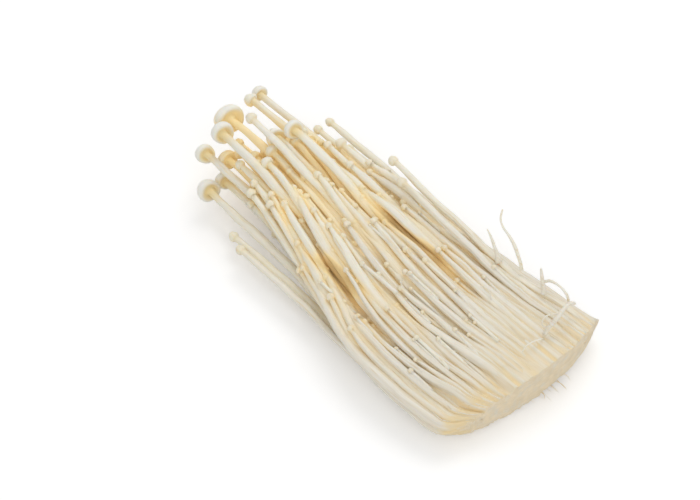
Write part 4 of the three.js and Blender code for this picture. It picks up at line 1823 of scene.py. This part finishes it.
def cut_rings(outline, rng):
    """Rings from a line in the middle of the sliced face out to its edge."""
    spine_y = np.clip(outline[:, 0], -FACE_SPINE, FACE_SPINE)
    spine = np.column_stack([spine_y, np.full(BASE_SAMPLES, BASE_HEIGHT / 2)])
    rings = []
    for number in range(FACE_RINGS):
        part = mix(spine, outline, number / FACE_RINGS)
        across, upward = part.T
        swell = -FACE_PROUD + FACE_SWELL * np.sin(across * 0.9 + 1.3) * np.sin(upward * 1.1)
        swell += FACE_UNEVENNESS * rng.normal(0, 1, BASE_SAMPLES) * (number > 0)
        rings.append(np.column_stack([swell, part]))
    return rings


class ENOKI_OT_cut_base(bpy.types.Operator):
    """Makes the block of fused feet and its sliced face"""

    bl_idname = "enoki.cut_base"
    bl_label = "Cut base"

    def execute(self, context):
        rng = np.random.default_rng(context.scene.enoki_mushrooms.seed + 4)
        rings, valleys = fused_skin(rng)
        face = cut_rings(rings[0][:, 1:], rng)
        inner_outline = mix(face[0][:, 1:], rings[-1][:, 1:], INNER_WIDTH)
        inner = np.column_stack([np.full(BASE_SAMPLES, INNER_END), inner_outline])
        skin = flattened(behind_face(np.stack([*face, *rings, inner])))
        points = np.vstack([skin.reshape(-1, 3), skin[-1].mean(axis=0)])
        faces = ring_faces(len(skin), BASE_SAMPLES)
        first, last = (len(skin) - 1) * BASE_SAMPLES, len(skin) * BASE_SAMPLES
        for i in range(BASE_SAMPLES):
            faces.append((last, first + i, first + (i + 1) % BASE_SAMPLES))
        # Painted shade: the face, the valleys between the ridges and the hidden inner end are
        # marked as lying in cracks.
        in_face = np.full((FACE_RINGS, BASE_SAMPLES), FACE_DEEP)
        deep = np.concatenate([in_face, valleys, np.ones((1, BASE_SAMPLES))])
        surface = Surface()
        deep = np.append(np.clip(deep, 0, 1), 1)
        surface.add(points, faces, tone=BASE_TONE, ripe=BASE_RIPE, deep=deep)
        piece = surface.build("cut_base_flesh")
        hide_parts("cut_base")
        return {"FINISHED"}


# ---------------------------------------------------------------- stage


# Lamps: name, place, width, and the setting that holds its power
LAMPS = (
    ("key_lamp", (0.25, -0.45, 0.75), 0.6, "key"),
    ("fill_lamp", (-0.6, 0.4, 0.6), 0.8, "fill"),
)
LIT_POINT = (0, 0, 0.01)
SENSOR_WIDTH = 36

# The floor: how far it goes on, how pale it is to the light and to the eye, and how much it shines
# under the bunch and away from it, from and to these distances
FLOOR_REACH = 4.0
FLOOR_TO_LIGHT = 0.84
FLOOR_TO_EYE = 0.98
SHINE_UNDER = 0.19
SHINE_AWAY = 0.5
SHINE_FROM = 0.12
SHINE_TO = 0.6


def area_lamp(name, place, size, power):
    """A large soft lamp that faces the bunch."""
    data = bpy.data.lights.new(name, "AREA")
    data.shape = "DISK"
    data.size = size
    data.energy = power
    lamp = bpy.data.objects.new(name, data)
    lamp.location = place
    lamp.rotation_euler = (Vector(LIT_POINT) - Vector(place)).to_track_quat("-Z", "Y").to_euler()
    bpy.context.scene.collection.objects.link(lamp)


def grey(value):
    return (value, value, value, 1)


def seen_directly(tree):
    """1 for what the eye sees, straight, mirrored or through glass, and 0 for light on its way."""
    path = node(tree, "ShaderNodeLightPath")
    seen = maths(tree, "MAXIMUM", path.outputs["Is Camera Ray"], path.outputs["Is Glossy Ray"])
    return maths(tree, "MAXIMUM", seen, path.outputs["Is Transmission Ray"])


def floor_material():
    """A pale floor that is white to the eye, more so away from the bunch, and keeps the shadow."""
    material = bpy.data.materials.new("pale_floor")
    material.use_nodes = True
    tree = material.node_tree
    tree.nodes.clear()
    out = tree.nodes.new("ShaderNodeOutputMaterial")
    matt = node(tree, "ShaderNodeBsdfDiffuse", {"Color": grey(FLOOR_TO_LIGHT)})
    place = node(tree, "ShaderNodeTexCoord").outputs["Object"]
    away = node(tree, "ShaderNodeVectorMath", {0: place}, operation="LENGTH").outputs["Value"]
    fade = ramp(tree, away, SHINE_FROM, SHINE_TO, SHINE_UNDER, SHINE_AWAY)
    shine = node(tree, "ShaderNodeEmission", {"Color": grey(1), "Strength": fade})
    dull = node(tree, "ShaderNodeBsdfDiffuse", {"Color": grey(FLOOR_TO_EYE)})
    seen = node(tree, "ShaderNodeAddShader", {0: dull.outputs[0], 1: shine.outputs[0]})
    pick = node(tree, "ShaderNodeMixShader", {
        0: seen_directly(tree), 1: matt.outputs[0], 2: seen.outputs[0],
    })
    tree.links.new(pick.outputs[0], out.inputs["Surface"])
    return material


def world_light(strength):
    """Even light from all round, with a white background to the eye."""
    world = bpy.data.worlds.new("studio")
    world.use_nodes = True
    tree = world.node_tree
    tree.nodes.clear()
    out = tree.nodes.new("ShaderNodeOutputWorld")
    soft = node(tree, "ShaderNodeBackground", {"Color": grey(1), "Strength": strength})
    white = node(tree, "ShaderNodeBackground", {"Color": grey(1), "Strength": 1.0})
    pick = node(tree, "ShaderNodeMixShader", {
        0: seen_directly(tree), 1: soft.outputs[0], 2: white.outputs[0],
    })
    tree.links.new(pick.outputs[0], out.inputs["Surface"])
    bpy.context.scene.world = world


def add_floor():
    mesh = bpy.data.meshes.new("floor")
    corners = [(-1, -1, 0), (1, -1, 0), (1, 1, 0), (-1, 1, 0)]
    mesh.from_pydata([Vector(corner) * FLOOR_REACH for corner in corners], [], [(0, 1, 2, 3)])
    mesh.materials.append(floor_material())
    floor = bpy.data.objects.new("floor", mesh)
    bpy.context.scene.collection.objects.link(floor)
    return floor


def add_camera(stage):
    azimuth, elevation = stage.azimuth, stage.elevation
    level = Vector((-math.sin(azimuth), math.cos(azimuth), 0))
    forward = level * math.cos(elevation) - Vector((0, 0, math.sin(elevation)))
    data = bpy.data.cameras.new("camera")
    data.lens = stage.lens
    data.sensor_width = SENSOR_WIDTH
    camera = bpy.data.objects.new("camera", data)
    camera.location = Vector(to_frame(stage.aim)) - forward * stage.distance
    camera.rotation_euler = forward.to_track_quat("-Z", "Y").to_euler()
    bpy.context.scene.collection.objects.link(camera)
    bpy.context.scene.camera = camera


class ENOKI_OT_stage(bpy.types.Operator):
    """Sets out the floor, the lamps, the world and the camera"""

    bl_idname = "enoki.stage"
    bl_label = "Stage"

    def execute(self, context):
        stage = context.scene.enoki_stage
        floor = add_floor()
        for name, place, size, setting in LAMPS:
            area_lamp(name, place, size, getattr(stage, setting))
        world_light(stage.ambient)
        add_camera(stage)
        context.scene.view_settings.view_transform = "Standard"
        return {"FINISHED"}


class ENOKI_PT_panel(bpy.types.Panel):
    """Builds the bunch step by step"""

    bl_label = "Enoki bunch"
    bl_idname = "ENOKI_PT_panel"
    bl_space_type = "VIEW_3D"
    bl_region_type = "UI"
    bl_category = "Enoki"

    def draw(self, context):
        for operator in OPERATORS:
            self.layout.operator(operator.bl_idname)
        for group in (
            context.scene.enoki_mushrooms, context.scene.enoki_finish, context.scene.enoki_stage,
        ):
            for name in group.__annotations__:
                self.layout.prop(group, name)


OPERATORS = (
    ENOKI_OT_long_mushrooms,
    ENOKI_OT_short_mushrooms,
    ENOKI_OT_pins,
    ENOKI_OT_threads,
    ENOKI_OT_cut_base,
    ENOKI_OT_stage,
)
GROUPS = (ENOKI_PG_mushrooms, ENOKI_PG_finish, ENOKI_PG_stage)


def register():
    for cls in (*GROUPS, *OPERATORS, ENOKI_PT_panel):
        bpy.utils.register_class(cls)
    bpy.types.Scene.enoki_mushrooms = PointerProperty(type=ENOKI_PG_mushrooms)
    bpy.types.Scene.enoki_finish = PointerProperty(type=ENOKI_PG_finish)
    bpy.types.Scene.enoki_stage = PointerProperty(type=ENOKI_PG_stage)


def unregister():
    del bpy.types.Scene.enoki_mushrooms
    del bpy.types.Scene.enoki_finish
    del bpy.types.Scene.enoki_stage
    for cls in reversed((*GROUPS, *OPERATORS, ENOKI_PT_panel)):
        bpy.utils.unregister_class(cls)


def main():
    register()
    bpy.ops.enoki.long_mushrooms()
    bpy.ops.enoki.short_mushrooms()
    bpy.ops.enoki.pins()
    bpy.ops.enoki.threads()
    bpy.ops.enoki.cut_base()
    bpy.ops.enoki.stage()


if __name__ == "__main__":
    main()
